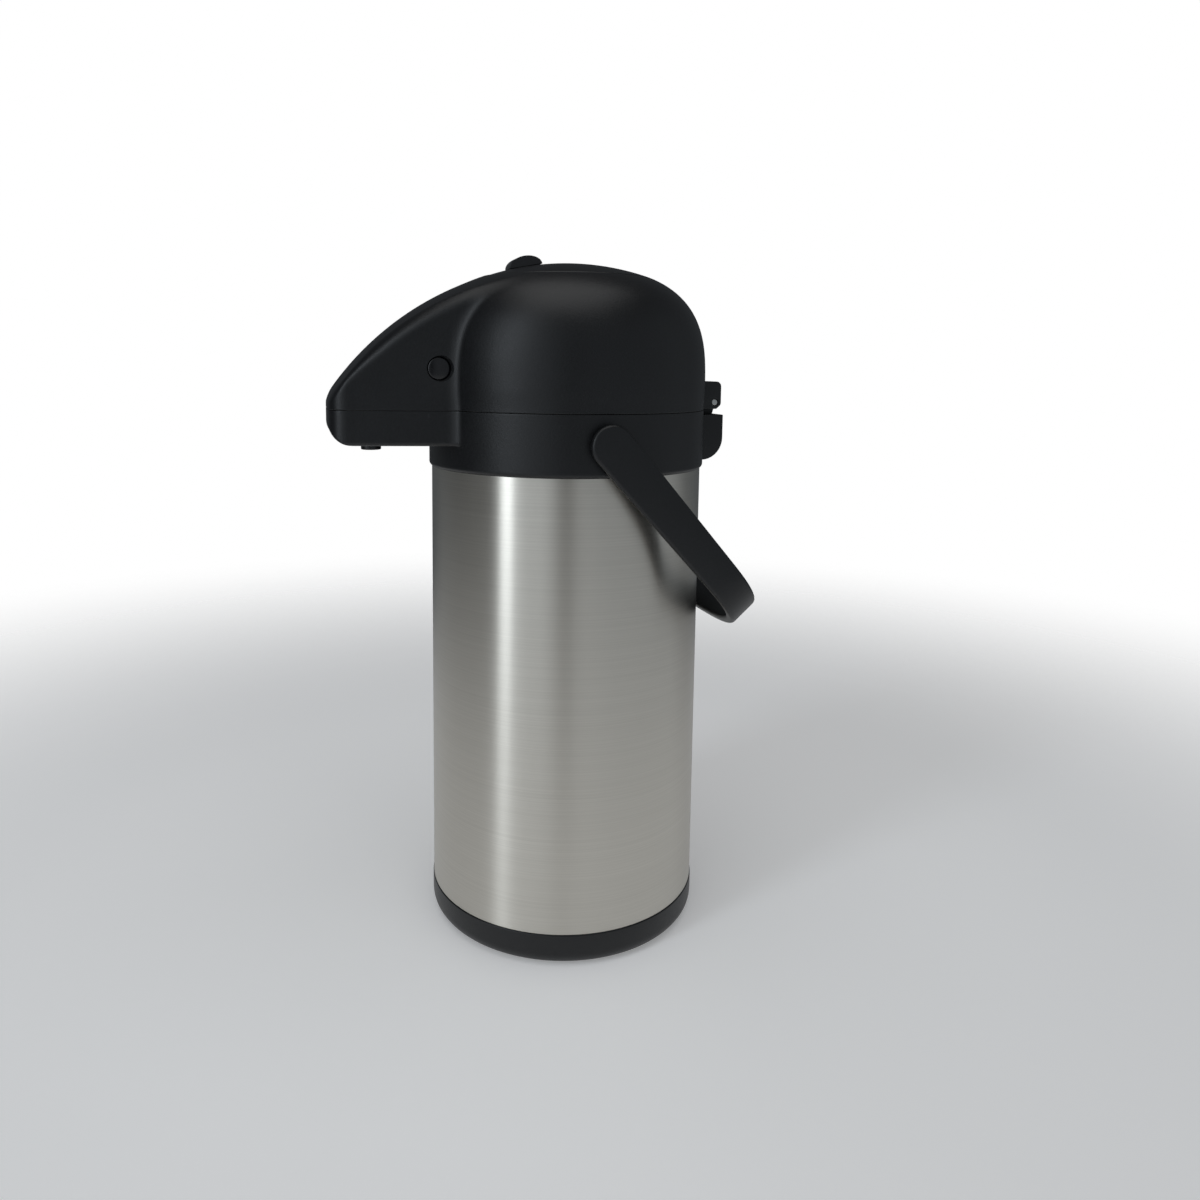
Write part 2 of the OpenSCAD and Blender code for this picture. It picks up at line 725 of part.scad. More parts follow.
base_ring();
base_plate();
base_screws();
flask_cushion();
steel_shell();
flask_outer_bottle();
flask_inner_bottle();
flask_inner_shoulder();
flask_inner_neck();
neck_gasket();
pouring_funnel();
funnel_screws();
collar();
dip_tube();
tube_elbow();
elbow_seal();
spout_hose();
spout_nozzle();
hinge_bracket();
hinge_screws();
hinge_pin();
handle();
handle_clips();
lid_shell();
lid_plate();
lid_screws();
lid_gasket();
air_valve();
bellows();
bellows_spring();
bellows_plate();
push_pad();
lock_knob();
lock_foot();
latch_button(1);  // latch_button_left
latch_button(-1);  // latch_button_right
latch_spring(1);  // latch_spring_left
latch_spring(-1);  // latch_spring_right
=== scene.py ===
import math

import bpy
import numpy as np
from mathutils import Matrix, Vector


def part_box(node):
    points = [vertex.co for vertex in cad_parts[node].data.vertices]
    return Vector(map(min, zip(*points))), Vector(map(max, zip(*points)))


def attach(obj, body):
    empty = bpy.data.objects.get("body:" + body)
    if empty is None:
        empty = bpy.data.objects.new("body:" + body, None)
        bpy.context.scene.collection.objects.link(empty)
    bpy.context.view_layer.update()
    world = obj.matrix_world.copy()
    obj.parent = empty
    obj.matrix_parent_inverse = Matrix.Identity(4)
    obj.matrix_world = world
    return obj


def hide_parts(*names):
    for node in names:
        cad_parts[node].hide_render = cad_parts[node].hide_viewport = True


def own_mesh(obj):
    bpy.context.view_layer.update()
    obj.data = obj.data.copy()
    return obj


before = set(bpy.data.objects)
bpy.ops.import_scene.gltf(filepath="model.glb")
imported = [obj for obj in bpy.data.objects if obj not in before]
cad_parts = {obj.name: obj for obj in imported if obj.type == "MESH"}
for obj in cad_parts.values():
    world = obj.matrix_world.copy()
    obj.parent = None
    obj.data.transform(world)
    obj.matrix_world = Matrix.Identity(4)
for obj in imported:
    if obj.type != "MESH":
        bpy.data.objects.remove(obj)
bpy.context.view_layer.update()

mm = 0.001
turn = 2 * math.pi


# ---- Base ring ----
# The foot of the airpot: one moulding in black polypropylene. The steel shell stands on its
# step and the glued spigot inside holds it. The bottom edge is rounded well under.

def only(piece):
    """Selects one object and makes it the active one."""
    bpy.ops.object.select_all(action="DESELECT")
    piece.select_set(True)
    bpy.context.view_layer.objects.active = piece


def rounded(corners):
    """The outline through (across, up, radius) corners in mm, each turned into its arc."""
    outline = []
    for i, (across, up, radius) in enumerate(corners):
        corner = Vector((across, up))
        back = (Vector(corners[i - 1][:2]) - corner).normalized()
        ahead = (Vector(corners[(i + 1) % len(corners)][:2]) - corner).normalized()
        half = back.angle(ahead) / 2
        if radius == 0 or half > 1.56:
            outline.append(corner)
            continue
        middle = corner + (back + ahead).normalized() * radius / math.sin(half)
        start = corner + back * radius / math.tan(half) - middle
        end = corner + ahead * radius / math.tan(half) - middle
        sweep = math.pi - 2 * half
        steps = max(3, math.ceil(math.degrees(sweep) / 10))
        for k in range(steps + 1):
            part = sweep * k / steps
            outline.append(middle + (start * math.sin(sweep - part) + end * math.sin(part)) / math.sin(sweep))
    return outline


def mesh_object(name, points, edges, faces):
    """A new object in the scene, from points in mm."""
    mesh = bpy.data.meshes.new(name)
    mesh.from_pydata([Vector(p) * mm for p in points], edges, faces)
    piece = bpy.data.objects.new(name, mesh)
    bpy.context.scene.collection.objects.link(piece)
    only(piece)
    return piece


def smooth(piece, angle=30):
    """Smooth shading over every edge flatter than the angle, in degrees."""
    only(piece)
    bpy.ops.object.shade_smooth_by_angle(angle=math.radians(angle))
    for modifier in list(piece.modifiers):
        bpy.ops.object.modifier_apply(modifier=modifier.name)


def turned(name, corners, steps=160, place=None):
    """Spins an outline of (radius, height, rounding) corners round Z, then sets it in its place."""
    outline = rounded(corners)
    count = len(outline)
    edges = [(i, (i + 1) % count) for i in range(count)]
    edges = [e for e in edges if outline[e[0]].x > 0.001 or outline[e[1]].x > 0.001]
    piece = mesh_object(name, [(p.x, 0, p.y) for p in outline], edges, [])
    bpy.ops.object.mode_set(mode="EDIT")
    bpy.ops.mesh.select_all(action="SELECT")
    bpy.ops.mesh.spin(steps=steps, angle=turn, center=(0, 0, 0), axis=(0, 0, 1))
    bpy.ops.mesh.select_all(action="SELECT")
    bpy.ops.mesh.remove_doubles(threshold=0.004 * mm)
    bpy.ops.mesh.normals_make_consistent(inside=False)
    bpy.ops.object.mode_set(mode="OBJECT")
    if place is not None:
        piece.data.transform(place)
    smooth(piece)
    return piece


def linear(hex_value):
    """Linear colour of an sRGB hex value."""
    parts = [int(hex_value[i:i + 2], 16) / 255 for i in (0, 2, 4)]
    return [c / 12.92 if c <= 0.04045 else ((c + 0.055) / 1.055) ** 2.4 for c in parts] + [1]


def add(material, kind, settings=(), links=()):
    """Adds a node, sets its properties and sockets by name, and links its inputs to outputs."""
    node = material.node_tree.nodes.new("ShaderNode" + kind)
    for key, value in dict(settings).items():
        if isinstance(key, str) and hasattr(node, key):
            setattr(node, key, value)
        else:
            node.inputs[key].default_value = value
    for key, output in dict(links).items():
        material.node_tree.links.new(output, node.inputs[key])
    return node


def new_material(name):
    """An empty material with all its nodes cleared."""
    material = bpy.data.materials.new(name)
    material.use_nodes = True
    material.node_tree.nodes.clear()
    return material


def close_material(material, shader):
    """Links the shader to a new output node and hands the material back."""
    add(material, "OutputMaterial", {}, {"Surface": shader.outputs[0]})
    return material


def two_tones(material, factor, dark, light, low=0.3, high=0.7):
    """A ramp between two sRGB tones, which starts and ends where the factor is low and high."""
    tone = add(material, "ValToRGB", {}, {"Fac": factor})
    for end, place, colour in zip(tone.color_ramp.elements, (low, high), (dark, light)):
        end.position = place
        end.color = linear(colour)
    return tone


# Polypropylene moulded in a spark-eroded tool: a satin black with a fine even grain that
# breaks up the highlights. The real grain is about 0.3 mm; here it is drawn at 0.7 mm to show.
def moulded_polypropylene(name, dark, light, roughness, grain=0.7, relief=0.05):
    material = new_material(name)
    place = add(material, "TexCoord").outputs["Object"]
    fine = add(material, "TexNoise", {"Scale": 1 / (grain * mm), "Detail": 3.0, "Roughness": 0.6},
        {"Vector": place})
    broad = add(material, "TexNoise", {"Scale": 1 / (35 * mm), "Detail": 2.0}, {"Vector": place})
    mottle = add(material, "Math", {"operation": "MULTIPLY_ADD", 1: 0.65, 2: 0.0},
        {0: fine.outputs["Fac"]})
    cloud = add(material, "Math", {"operation": "MULTIPLY_ADD", 1: 0.35},
        {0: broad.outputs["Fac"], 2: mottle.outputs[0]})
    tone = two_tones(material, cloud.outputs[0], dark, light, 0.36, 0.64)
    gloss = add(material, "MapRange", {"From Min": 0.3, "From Max": 0.7, "To Min": roughness - 0.05,
        "To Max": roughness + 0.06}, {"Value": cloud.outputs[0]})
    bump = add(material, "Bump", {"Strength": 0.6, "Distance": relief * mm}, {"Height": fine.outputs["Fac"]})
    shader = add(material, "BsdfPrincipled", {"IOR": 1.49}, {"Base Color": tone.outputs["Color"],
        "Roughness": gloss.outputs["Result"], "Normal": bump.outputs["Normal"]})
    return close_material(material, shader)


black_grained = moulded_polypropylene("polypropylene_moulded_grained", "040507", "090b0e", 0.4, 0.8, 0.12)

steel_low, steel_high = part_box("steel_shell")
steel_r = steel_high.x / mm
base_top = steel_low.z / mm
base_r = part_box("base_ring")[1].x / mm
spigot_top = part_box("base_ring")[1].z / mm

base_ring = turned("base_ring_moulding", [
    (67, 0, 0.5), (base_r, 0, 8), (base_r, base_top - 0.1, 0.7), (steel_r - 0.9, base_top - 0.1, 0),
    (steel_r - 0.9, spigot_top, 0.4), (steel_r - 2.9, spigot_top, 0.4), (steel_r - 2.9, 8, 1),
    (57, 8, 0.5), (57, 4.4, 0.5), (67, 4.4, 0)], steps=192)
base_ring.data.materials.append(black_grained)
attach(base_ring, "body")
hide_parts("base_ring")


# ---- Base plate and its screws ----
# A polypropylene disc that closes the underside and carries the flask's cushion. Four pan
# head screws hold it to the ring from below, in counterbores.

inner_black = moulded_polypropylene("polypropylene_moulded_plain", "0c0d0f", "141619", 0.34, 1.6, 0.02)
plate_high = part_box("base_plate")[1] / mm
screw_circle = 61.5
screw_places = [Matrix.Rotation(math.radians(a), 4, "Z") for a in (45, 135, 225, 315)]

base_plate = turned("base_plate_moulding", [
    (0, 0.9, 0), (18, 0.9, 0.4), (18.6, 0.3, 0.4), (50, 0.3, 0.4), (50.6, 0, 0), (plate_high.x, 0, 0.5),
    (plate_high.x, 3.8, 0.4), (46, 3.8, 0.5), (46, plate_high.z, 0.5), (43.5, plate_high.z, 0.5),
    (43.5, 3.8, 0.5), (0, 3.8, 0)])


def cut(piece, cutter):
    """Takes the cutter's shape out of the piece, and removes the cutter."""
    only(piece)
    modifier = piece.modifiers.new("cut", "BOOLEAN")
    modifier.operation = "DIFFERENCE"
    modifier.solver = "EXACT"
    modifier.object = cutter
    bpy.ops.object.modifier_apply(modifier=modifier.name)
    bpy.data.objects.remove(cutter)


for place in screw_places:
    counterbore = turned("counterbore", [(0, -1, 0), (3.7, -1, 0), (3.7, 2, 0), (1.9, 2, 0),
        (1.9, 6, 0), (0, 6, 0)], 32, place @ Matrix.Translation((screw_circle * mm, 0, 0)))
    cut(base_plate, counterbore)
smooth(base_plate)
base_plate.data.materials.append(inner_black)
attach(base_plate, "body")
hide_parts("base_plate")


# Zinc plated steel: bright, with the faint grain of rolled and tumbled screws.
def plated_steel(name, dark, light, roughness):
    material = new_material(name)
    place = add(material, "TexCoord").outputs["Object"]
    noise = add(material, "TexNoise", {"Scale": 1 / (1.2 * mm), "Detail": 4.0}, {"Vector": place})
    tone = two_tones(material, noise.outputs["Fac"], dark, light)
    gloss = add(material, "MapRange", {"To Min": roughness - 0.06, "To Max": roughness + 0.1},
        {"Value": noise.outputs["Fac"]})
    bump = add(material, "Bump", {"Strength": 0.3, "Distance": 0.02 * mm}, {"Height": noise.outputs["Fac"]})
    shader = add(material, "BsdfPrincipled", {"Metallic": 1.0}, {"Base Color": tone.outputs["Color"],
        "Roughness": gloss.outputs["Result"], "Normal": bump.outputs["Normal"]})
    return close_material(material, shader)


bright_steel = plated_steel("steel_zinc_plated", "b4b3b0", "d0d0ce", 0.22)


def screws(name, places, head_r, head_h, shank_r, shank_h):
    """A group of pan head screws with cross recesses, head at the place's origin, shank down."""
    group = []
    for place in places:
        screw = turned(name, [(0, head_h, 0), (head_r * 0.6, head_h, 0.8), (head_r, head_h * 0.45, 0.5),
            (head_r, 0, 0.1), (shank_r, 0, 0.2), (shank_r, 1 - shank_h, 0.3), (shank_r * 0.3, -shank_h, 0.2),
            (0, -shank_h, 0)], 40)
        for quarter in (0, 90):
            bpy.ops.mesh.primitive_cube_add(size=1)
            blade = bpy.context.object
            blade.data.transform(Matrix.Rotation(math.radians(quarter), 4, "Z") @ Matrix.Translation(
                (0, 0, head_h * mm)) @ Matrix.Diagonal((head_r * 1.1 * mm, 0.6 * mm, 1.1 * mm, 1)))
            cut(screw, blade)
        screw.data.transform(place)
        group.append(screw)
    only(group[0])
    for screw in group:
        screw.select_set(True)
    bpy.ops.object.join()
    smooth(group[0])
    return group[0]


flip = Matrix.Rotation(math.pi, 4, "X")
base_screws = screws("base_screws_set", [place @ Matrix.Translation((screw_circle * mm, 0, 2 * mm)) @ flip
    for place in screw_places], 3.2, 1.4, 1.6, 7.5)
base_screws.data.materials.append(bright_steel)
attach(base_screws, "body")
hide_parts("base_screws")


# ---- Steel shell ----
# Rolled and welded stainless sheet, 0.8 mm, brushed round the body on a lathe with a belt.
# The brush lines run round it, so every light is drawn out into an upright streak.

steel_shell = turned("steel_shell_tube", [
    (steel_r - 0.8, base_top, 0.2), (steel_r, base_top, 0.3), (steel_r, steel_high.z / mm, 0.3),
    (steel_r - 0.8, steel_high.z / mm, 0.2)], steps=256)


def brushed_stainless():
    material = new_material("stainless_steel_brushed")
    place = add(material, "TexCoord").outputs["Object"]
    # Brush lines: 40 mm long or more round the body and 0.2 mm apart, drawn 0.45 mm apart
    stretch = add(material, "Mapping", {"Scale": (1 / (150 * mm), 1 / (150 * mm), 1 / (0.45 * mm))},
        {"Vector": place})
    lines = add(material, "TexNoise", {"Scale": 1.0, "Detail": 4.0, "Roughness": 0.7},
        {"Vector": stretch.outputs[0]})
    # Slower bands, 4 mm apart, where the belt pressed harder
    slow = add(material, "Mapping", {"Scale": (1 / (160 * mm), 1 / (160 * mm), 1 / (4 * mm))},
        {"Vector": place})
    bands = add(material, "TexNoise", {"Scale": 1.0, "Detail": 2.0}, {"Vector": slow.outputs[0]})
    both = add(material, "Math", {"operation": "MULTIPLY_ADD", 1: 0.3},
        {0: bands.outputs["Fac"], 2: lines.outputs["Fac"]})
    tone = two_tones(material, lines.outputs["Fac"], "cdc9c0", "d8d4cb")
    gloss = add(material, "MapRange", {"From Min": 0.4, "From Max": 0.9, "To Min": 0.31, "To Max": 0.36},
        {"Value": both.outputs[0]})
    bump = add(material, "Bump", {"Strength": 0.06, "Distance": 0.01 * mm}, {"Height": lines.outputs["Fac"]})
    tangent = add(material, "Tangent", {"direction_type": "RADIAL", "axis": "Z"})
    shader = add(material, "BsdfPrincipled", {"Metallic": 1.0, "Anisotropic": 0.95,
        "Anisotropic Rotation": 0.25},
        {"Base Color": tone.outputs["Color"], "Roughness": gloss.outputs["Result"],
        "Normal": bump.outputs["Normal"], "Tangent": tangent.outputs[0]})
    return close_material(material, shader)


steel_shell.data.materials.append(brushed_stainless())
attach(steel_shell, "body")
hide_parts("steel_shell")


# ---- Collar ----
# The fixed lower half of the head, moulded in grained black polypropylene. It grips the top
# of the steel, carries the handle's pivots and the funnel, and makes the floor of the beak.

collar_low, collar_high = (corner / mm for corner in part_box("collar"))
lid_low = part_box("lid_shell")[0] / mm
collar_foot = collar_low.z
collar_r = 79.5
reach = -collar_low.y
seam = (collar_high.z + lid_low.z) / 2
beak_floor = seam - 18.8
wall = 2.4

# The beak in plan: straight sides that draw in towards a nose with rounded corners
root_half, nose_half, nose_corner = 39.0, 27.0, 11.0
side_from, side_to = 60.0, reach - nose_corner
draw_in = (root_half - nose_half) / (side_to - side_from)


def plan_depth(x, s, inset=0.0):
    """Distance inside the beak's plan of points at x across and a reach of s; negative outside."""
    x = np.abs(x)
    side = (root_half - draw_in * (s - side_from) - inset - x) / math.hypot(1, draw_in)
    nose = reach - inset - s
    corner_r = nose_corner - inset
    u = x - (nose_half - nose_corner)
    v = s - (reach - nose_corner)
    corner = corner_r - np.hypot(np.maximum(u, 0), np.maximum(v, 0))
    return np.where((u > 0) & (v > 0), corner, np.minimum(side, nose))


def edge_drop(depth, radius):
    """How far a rounded edge of that radius falls below its face, at a depth in from the side."""
    left = np.clip(radius - depth, 0, radius)
    return radius - np.sqrt(np.maximum(radius * radius - left * left, 0))


def blend_max(a, b, width):
    """The greater of a and b, with a fillet of about that width where they meet."""
    near = np.maximum(width - np.abs(a - b), 0) / width
    return np.maximum(a, b) + near * near * width / 4


# Columns stand close together across the beak and wider apart round the rest of the head
fine = np.arange(-46, 46, 0.4)
coarse = np.arange(46, 314, 2.0)
column_angles = np.radians(np.concatenate([fine, coarse]))


def beak_reach_at(angle, height_of, levels):
    """For each level, how far out along the ray at that angle the beak still reaches it."""
    if math.cos(angle) < 0.5:
        return np.zeros(len(levels))
    out = np.arange(20, reach + 30, 0.05)
    height = height_of(out * math.sin(angle), out * math.cos(angle))
    crest = np.maximum.accumulate(height[::-1])[::-1]
    return np.interp(-levels, -crest, out, left=0, right=0)


def loft(name, columns):
    """A closed skin over columns of (radius, height) points set round the axis."""
    count = len(columns[0])
    points = []
    for angle, column in zip(column_angles, columns):
        points += [(r * math.sin(angle), -r * math.cos(angle), z) for r, z in column]
    faces = []
    for i in range(len(columns)):
        a, b = i * count, (i + 1) % len(columns) * count
        faces += [(a + k, b + k, b + (k + 1) % count, a + (k + 1) % count) for k in range(count)]
    piece = mesh_object(name, points, [], faces)
    bpy.ops.object.mode_set(mode="EDIT")
    bpy.ops.mesh.select_all(action="SELECT")
    bpy.ops.mesh.normals_make_consistent(inside=False)
    bpy.ops.object.mode_set(mode="OBJECT")
    return piece


def smooth_step(values, low, high):
    part = np.clip((values - low) / (high - low), 0, 1)
    return part * part * (3 - 2 * part)


fillet = 5.0
floor_edge = 2.2
nose_under = 12.0


def underside(x, s, inset=0.0):
    """Height of the beak's underside: flat, with an edge radius that grows to the nose's round."""
    depth = plan_depth(x, s, inset)
    sides = edge_drop(depth, floor_edge)
    front = edge_drop(reach - inset - s, nose_under - inset)
    return np.where(depth < 0, 1e3, beak_floor + inset + np.maximum(sides, front))


def collar_reach(angle, levels, inset=0.0):
    """How far out the collar's face stands at each level along the ray at that angle."""
    beak = beak_reach_at(angle, lambda x, s: -underside(x, s, inset), -levels)
    return blend_max(collar_r - inset, beak, fillet)


collar_top = collar_high.z - 0.3
quarter = np.linspace(0, math.pi / 2, 7)
foot = [(collar_r - floor_edge * (1 - math.sin(t)), collar_foot + floor_edge * (1 - math.cos(t)))
    for t in quarter]
neck_levels = np.linspace(collar_foot + 3, beak_floor, 10)
side_levels = beak_floor + np.concatenate([floor_edge * (1 - np.cos(np.linspace(0.05, math.pi / 2, 8))),
    np.linspace(floor_edge + 0.6, collar_top - beak_floor - 0.3, 26)])
inner_floor = beak_floor + wall
inner_levels = np.linspace(collar_top - 0.4, inner_floor + 0.02, 24)
columns = []
for angle in column_angles:
    outer = collar_reach(angle, side_levels)
    inner = collar_reach(angle, inner_levels, wall)
    ledge = np.linspace(collar_r, outer[0], 6)[1:-1]
    trough = np.linspace(inner[-1], collar_r - wall, 5)
    columns.append(foot + [(collar_r, z) for z in neck_levels]
        + [(r, beak_floor) for r in ledge] + list(zip(outer, side_levels))
        + [(outer[-1] - 0.08, collar_top - 0.08), (outer[-1] - 0.3, collar_top)]
        + [(inner[0] + 0.4, collar_top)] + list(zip(inner, inner_levels))
        + [(r, inner_floor) for r in trough]
        + [(collar_r - wall, collar_foot + 5.2), (steel_r + 0.1, collar_foot + 5), (steel_r + 0.1,
        collar_foot)])
collar = loft("collar_moulding", columns)

# The deck across the collar, open to the beak's trough in front
deck_plate = turned("deck", [(46.5, 291.5, 0.5), (77.3, 291.5, 0), (77.3, 293.7, 0), (46.5, 293.7, 0.5)])


def beak_outline(s_from, inset):
    """The beak's plan from a reach to its rounded nose, as (x, y) points in mm."""
    half_width = root_half - draw_in * (s_from - side_from) - inset
    arc = [(nose_half - nose_corner + (nose_corner - inset) * math.cos(t),
        -(reach - nose_corner + (nose_corner - inset) * math.sin(t))) for t in np.linspace(0, math.pi / 2,
        12)]
    half = [(half_width, -s_from)] + arc
    return half + [(-x, y) for x, y in reversed(half)]


def prism(name, outline, depth, place=None):
    """A flat outline of (x, y) points in mm, extruded by a depth along Z and set in its place."""
    piece = mesh_object(name, [(x, y, 0) for x, y in outline], [], [range(len(outline))])
    bpy.ops.object.mode_set(mode="EDIT")
    bpy.ops.mesh.select_all(action="SELECT")
    bpy.ops.mesh.extrude_region_move(TRANSFORM_OT_translate={"value": (0, 0, depth * mm)})
    bpy.ops.mesh.select_all(action="SELECT")
    bpy.ops.mesh.normals_make_consistent(inside=False)
    bpy.ops.object.mode_set(mode="OBJECT")
    if place is not None:
        piece.data.transform(place)
    return piece


def soften(piece, width, segments=3, angle=35):
    """Rounds every edge sharper than the angle, then shades the piece smooth."""
    only(piece)
    modifier = piece.modifiers.new("edges", "BEVEL")
    modifier.width = width * mm
    modifier.segments = segments
    modifier.limit_method = "ANGLE"
    modifier.angle_limit = math.radians(angle)
    modifier.use_clamp_overlap = True
    bpy.ops.object.modifier_apply(modifier=modifier.name)
    smooth(piece)
    return piece


def lifted(x, y, z):
    return Matrix.Translation((x * mm, y * mm, z * mm))


def join(piece, *others):
    """Adds other meshes to the piece, as shells of the same moulding."""
    only(piece)
    for other in others:
        other.select_set(True)
    bpy.ops.object.join()
    return piece


cut(deck_plate, prism("trough", beak_outline(62, wall), 20, lifted(0, 0, 285)))
smooth(deck_plate)

across = Matrix.Rotation(math.pi / 2, 4, "Y")
pivot_z = 281.0
bosses = [turned("pivot_boss", [(0, 74, 0), (9, 74, 0), (9, 82.1, 0.6), (5.3, 82.1, 0.4), (5.3, 81, 0), (0,
    81, 0)],
    64, lifted(0, 0, pivot_z) @ Matrix.Rotation(side * math.pi / 2, 4, "Y")) for side in (-1, 1)]
screw_bosses = [turned("screw_boss", [(0, 281.6, 0), (3.6, 281.6, 0.4), (3.6, 292, 0), (0, 292, 0)], 32,
    place @ lifted(54, 0, 0)) for place in screw_places]
ledges = [soften(prism("latch_ledge", [(-1.3, -6), (1.3, -6), (1.3, 6), (-1.3, 6)], 2,
    lifted(side * 33.2, -79.5, seam - 3.6)), 0.4) for side in (-1, 1)]
smooth(collar, 40)
join(collar, deck_plate, *bosses, *screw_bosses, *ledges)
collar.data.materials.clear()
collar.data.materials.append(black_grained)
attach(collar, "body")
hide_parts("collar")


# ---- Vacuum flask ----
# Two blown glass bottles, one in the other, fused at the lip, with a vacuum between. Both
# faces of the gap are silvered, so the inside looks like a slightly uneven mirror.

def silvered_glass():
    material = new_material("glass_blown_silvered")
    place = add(material, "TexCoord").outputs["Object"]
    waves = add(material, "TexNoise", {"Scale": 1 / (22 * mm), "Detail": 2.0}, {"Vector": place})
    seeds = add(material, "TexNoise", {"Scale": 1 / (3 * mm), "Detail": 3.0}, {"Vector": place})
    tone = two_tones(material, seeds.outputs["Fac"], "d3d9d8", "e6e8e4")
    gloss = add(material, "MapRange", {"To Min": 0.03, "To Max": 0.09}, {"Value": seeds.outputs["Fac"]})
    bump = add(material, "Bump", {"Strength": 0.35, "Distance": 0.6 * mm}, {"Height": waves.outputs["Fac"]})
    shader = add(material, "BsdfPrincipled", {"Metallic": 1.0, "Coat Weight": 1.0, "Coat Roughness": 0.03},
        {"Base Color": tone.outputs["Color"], "Roughness": gloss.outputs["Result"],
        "Normal": bump.outputs["Normal"]})
    return close_material(material, shader)


mirror_glass = silvered_glass()
flask_r, flask_foot, lip_z, neck_r = 68.0, 15.0, 268.0, 31.5


def bottle(inset, foot_z, neck, top):
    """Corners of a bottle's outside, from the middle of its foot to its neck."""
    r = flask_r - inset
    return [(0, foot_z, 0), (r, foot_z, 25 - inset), (r, top - 22 - inset, 30 - inset),
        (neck, top - 16 - inset * 0.9, 6), (neck, top, 0)]


def inside_out(corners):
    return list(reversed(corners))


outer_bottle = turned("flask_outer_glass", bottle(0, flask_foot, neck_r, lip_z - 2)
    + inside_out(bottle(2, flask_foot + 2, neck_r - 2, lip_z - 2)))
inner_bottle = turned("flask_inner_glass", bottle(5, flask_foot + 5, neck_r - 2.6, lip_z - 2)
    + [(neck_r, lip_z - 2, 0.5), (neck_r, lip_z, 1), (neck_r - 4.6, lip_z, 0.9)]
    + inside_out(bottle(7, flask_foot + 7, neck_r - 4.6, lip_z - 1.2))[1:])
for glass in (outer_bottle, inner_bottle):
    glass.data.materials.append(mirror_glass)
    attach(glass, "body")
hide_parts("flask_outer_bottle")
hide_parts("flask_inner_bottle", "flask_inner_shoulder", "flask_inner_neck")


# ---- Flask cushion and neck gasket ----
# Soft black silicone rubber: a cup under the flask and a flat ring on its lip. Moulded
# rubber is dull, with a faint dusting of mould texture.

def moulded_rubber():
    material = new_material("silicone_rubber_moulded")
    place = add(material, "TexCoord").outputs["Object"]
    dust = add(material, "TexNoise", {"Scale": 1 / (0.5 * mm), "Detail": 4.0}, {"Vector": place})
    tone = two_tones(material, dust.outputs["Fac"], "151516", "222224", 0.35, 0.7)
    gloss = add(material, "MapRange", {"To Min": 0.5, "To Max": 0.7}, {"Value": dust.outputs["Fac"]})
    bump = add(material, "Bump", {"Strength": 0.4, "Distance": 0.05 * mm}, {"Height": dust.outputs["Fac"]})
    shader = add(material, "BsdfPrincipled", {"IOR": 1.42, "Sheen Weight": 0.15, "Sheen Roughness": 0.5},
        {"Base Color": tone.outputs["Color"], "Roughness": gloss.outputs["Result"],
        "Normal": bump.outputs["Normal"]})
    return close_material(material, shader)


rubber = moulded_rubber()
cushion = turned("flask_cushion_cup", [(20, 3.9, 0.5), (43.3, 3.9, 0.5), (43.3, 9.2, 0), (58, 9.2, 0.5),
    (62, 22, 1), (58, 20.2, 0), (50, 16.6, 4), (43, 14.8, 0), (20, 14.8, 0.5)])
neck_gasket = turned("neck_gasket_ring", [(neck_r - 4, lip_z, 0.5), (neck_r + 1, lip_z, 0.5),
    (neck_r + 1, lip_z + 2.5, 0.8), (neck_r - 4, lip_z + 2.5, 0.8)])
for part, node in ((cushion, "flask_cushion"), (neck_gasket, "neck_gasket")):
    part.data.materials.append(rubber)
    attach(part, "body")
    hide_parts(node)


# ---- Pouring funnel ----
# A polypropylene funnel that is screwed to the collar's deck and presses the gasket on the
# flask's lip. Its raised rim meets the lid's gasket.

funnel_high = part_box("pouring_funnel")[1] / mm
flange_z = 293.7
spout_z = seam - 11.3
funnel = turned("pouring_funnel_moulding", [
    (24, lip_z - 6, 0.6), (26, lip_z - 6, 0.6), (26, lip_z + 2.5, 0), (33, lip_z + 2.5, 0.8), (33,
    lip_z + 9.5, 3),
    (43.4, 290.5, 1), (45.6, flange_z, 0), (60, flange_z, 0.4), (60, flange_z + 2, 0.7), (47, flange_z + 2,
    0.8),
    (47, funnel_high.z, 0.7), (44, funnel_high.z, 0.9), (41, 291.5, 4), (24, lip_z + 4, 4)])
cut(funnel, turned("tube_hole", [(0, 10, 0), (4.3, 10, 0), (4.3, 60, 0), (0, 60, 0)], 48,
    lifted(0, 0, spout_z) @ Matrix.Rotation(math.pi / 2, 4, "X")))
smooth(funnel)
funnel.data.materials.clear()
funnel.data.materials.append(inner_black)
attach(funnel, "body")
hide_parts("pouring_funnel")

funnel_screws = screws("funnel_screws_set", [place @ lifted(54, 0, flange_z + 2) for place in screw_places],
    3, 1.3, 1.5, 9)
funnel_screws.data.materials.append(bright_steel)
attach(funnel_screws, "body")
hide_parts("funnel_screws")


# ---- Coffee way ----
# Coffee rises in a stiff natural polypropylene tube, turns in a moulded elbow, crosses the
# head in a soft hose and falls through the nozzle under the beak.

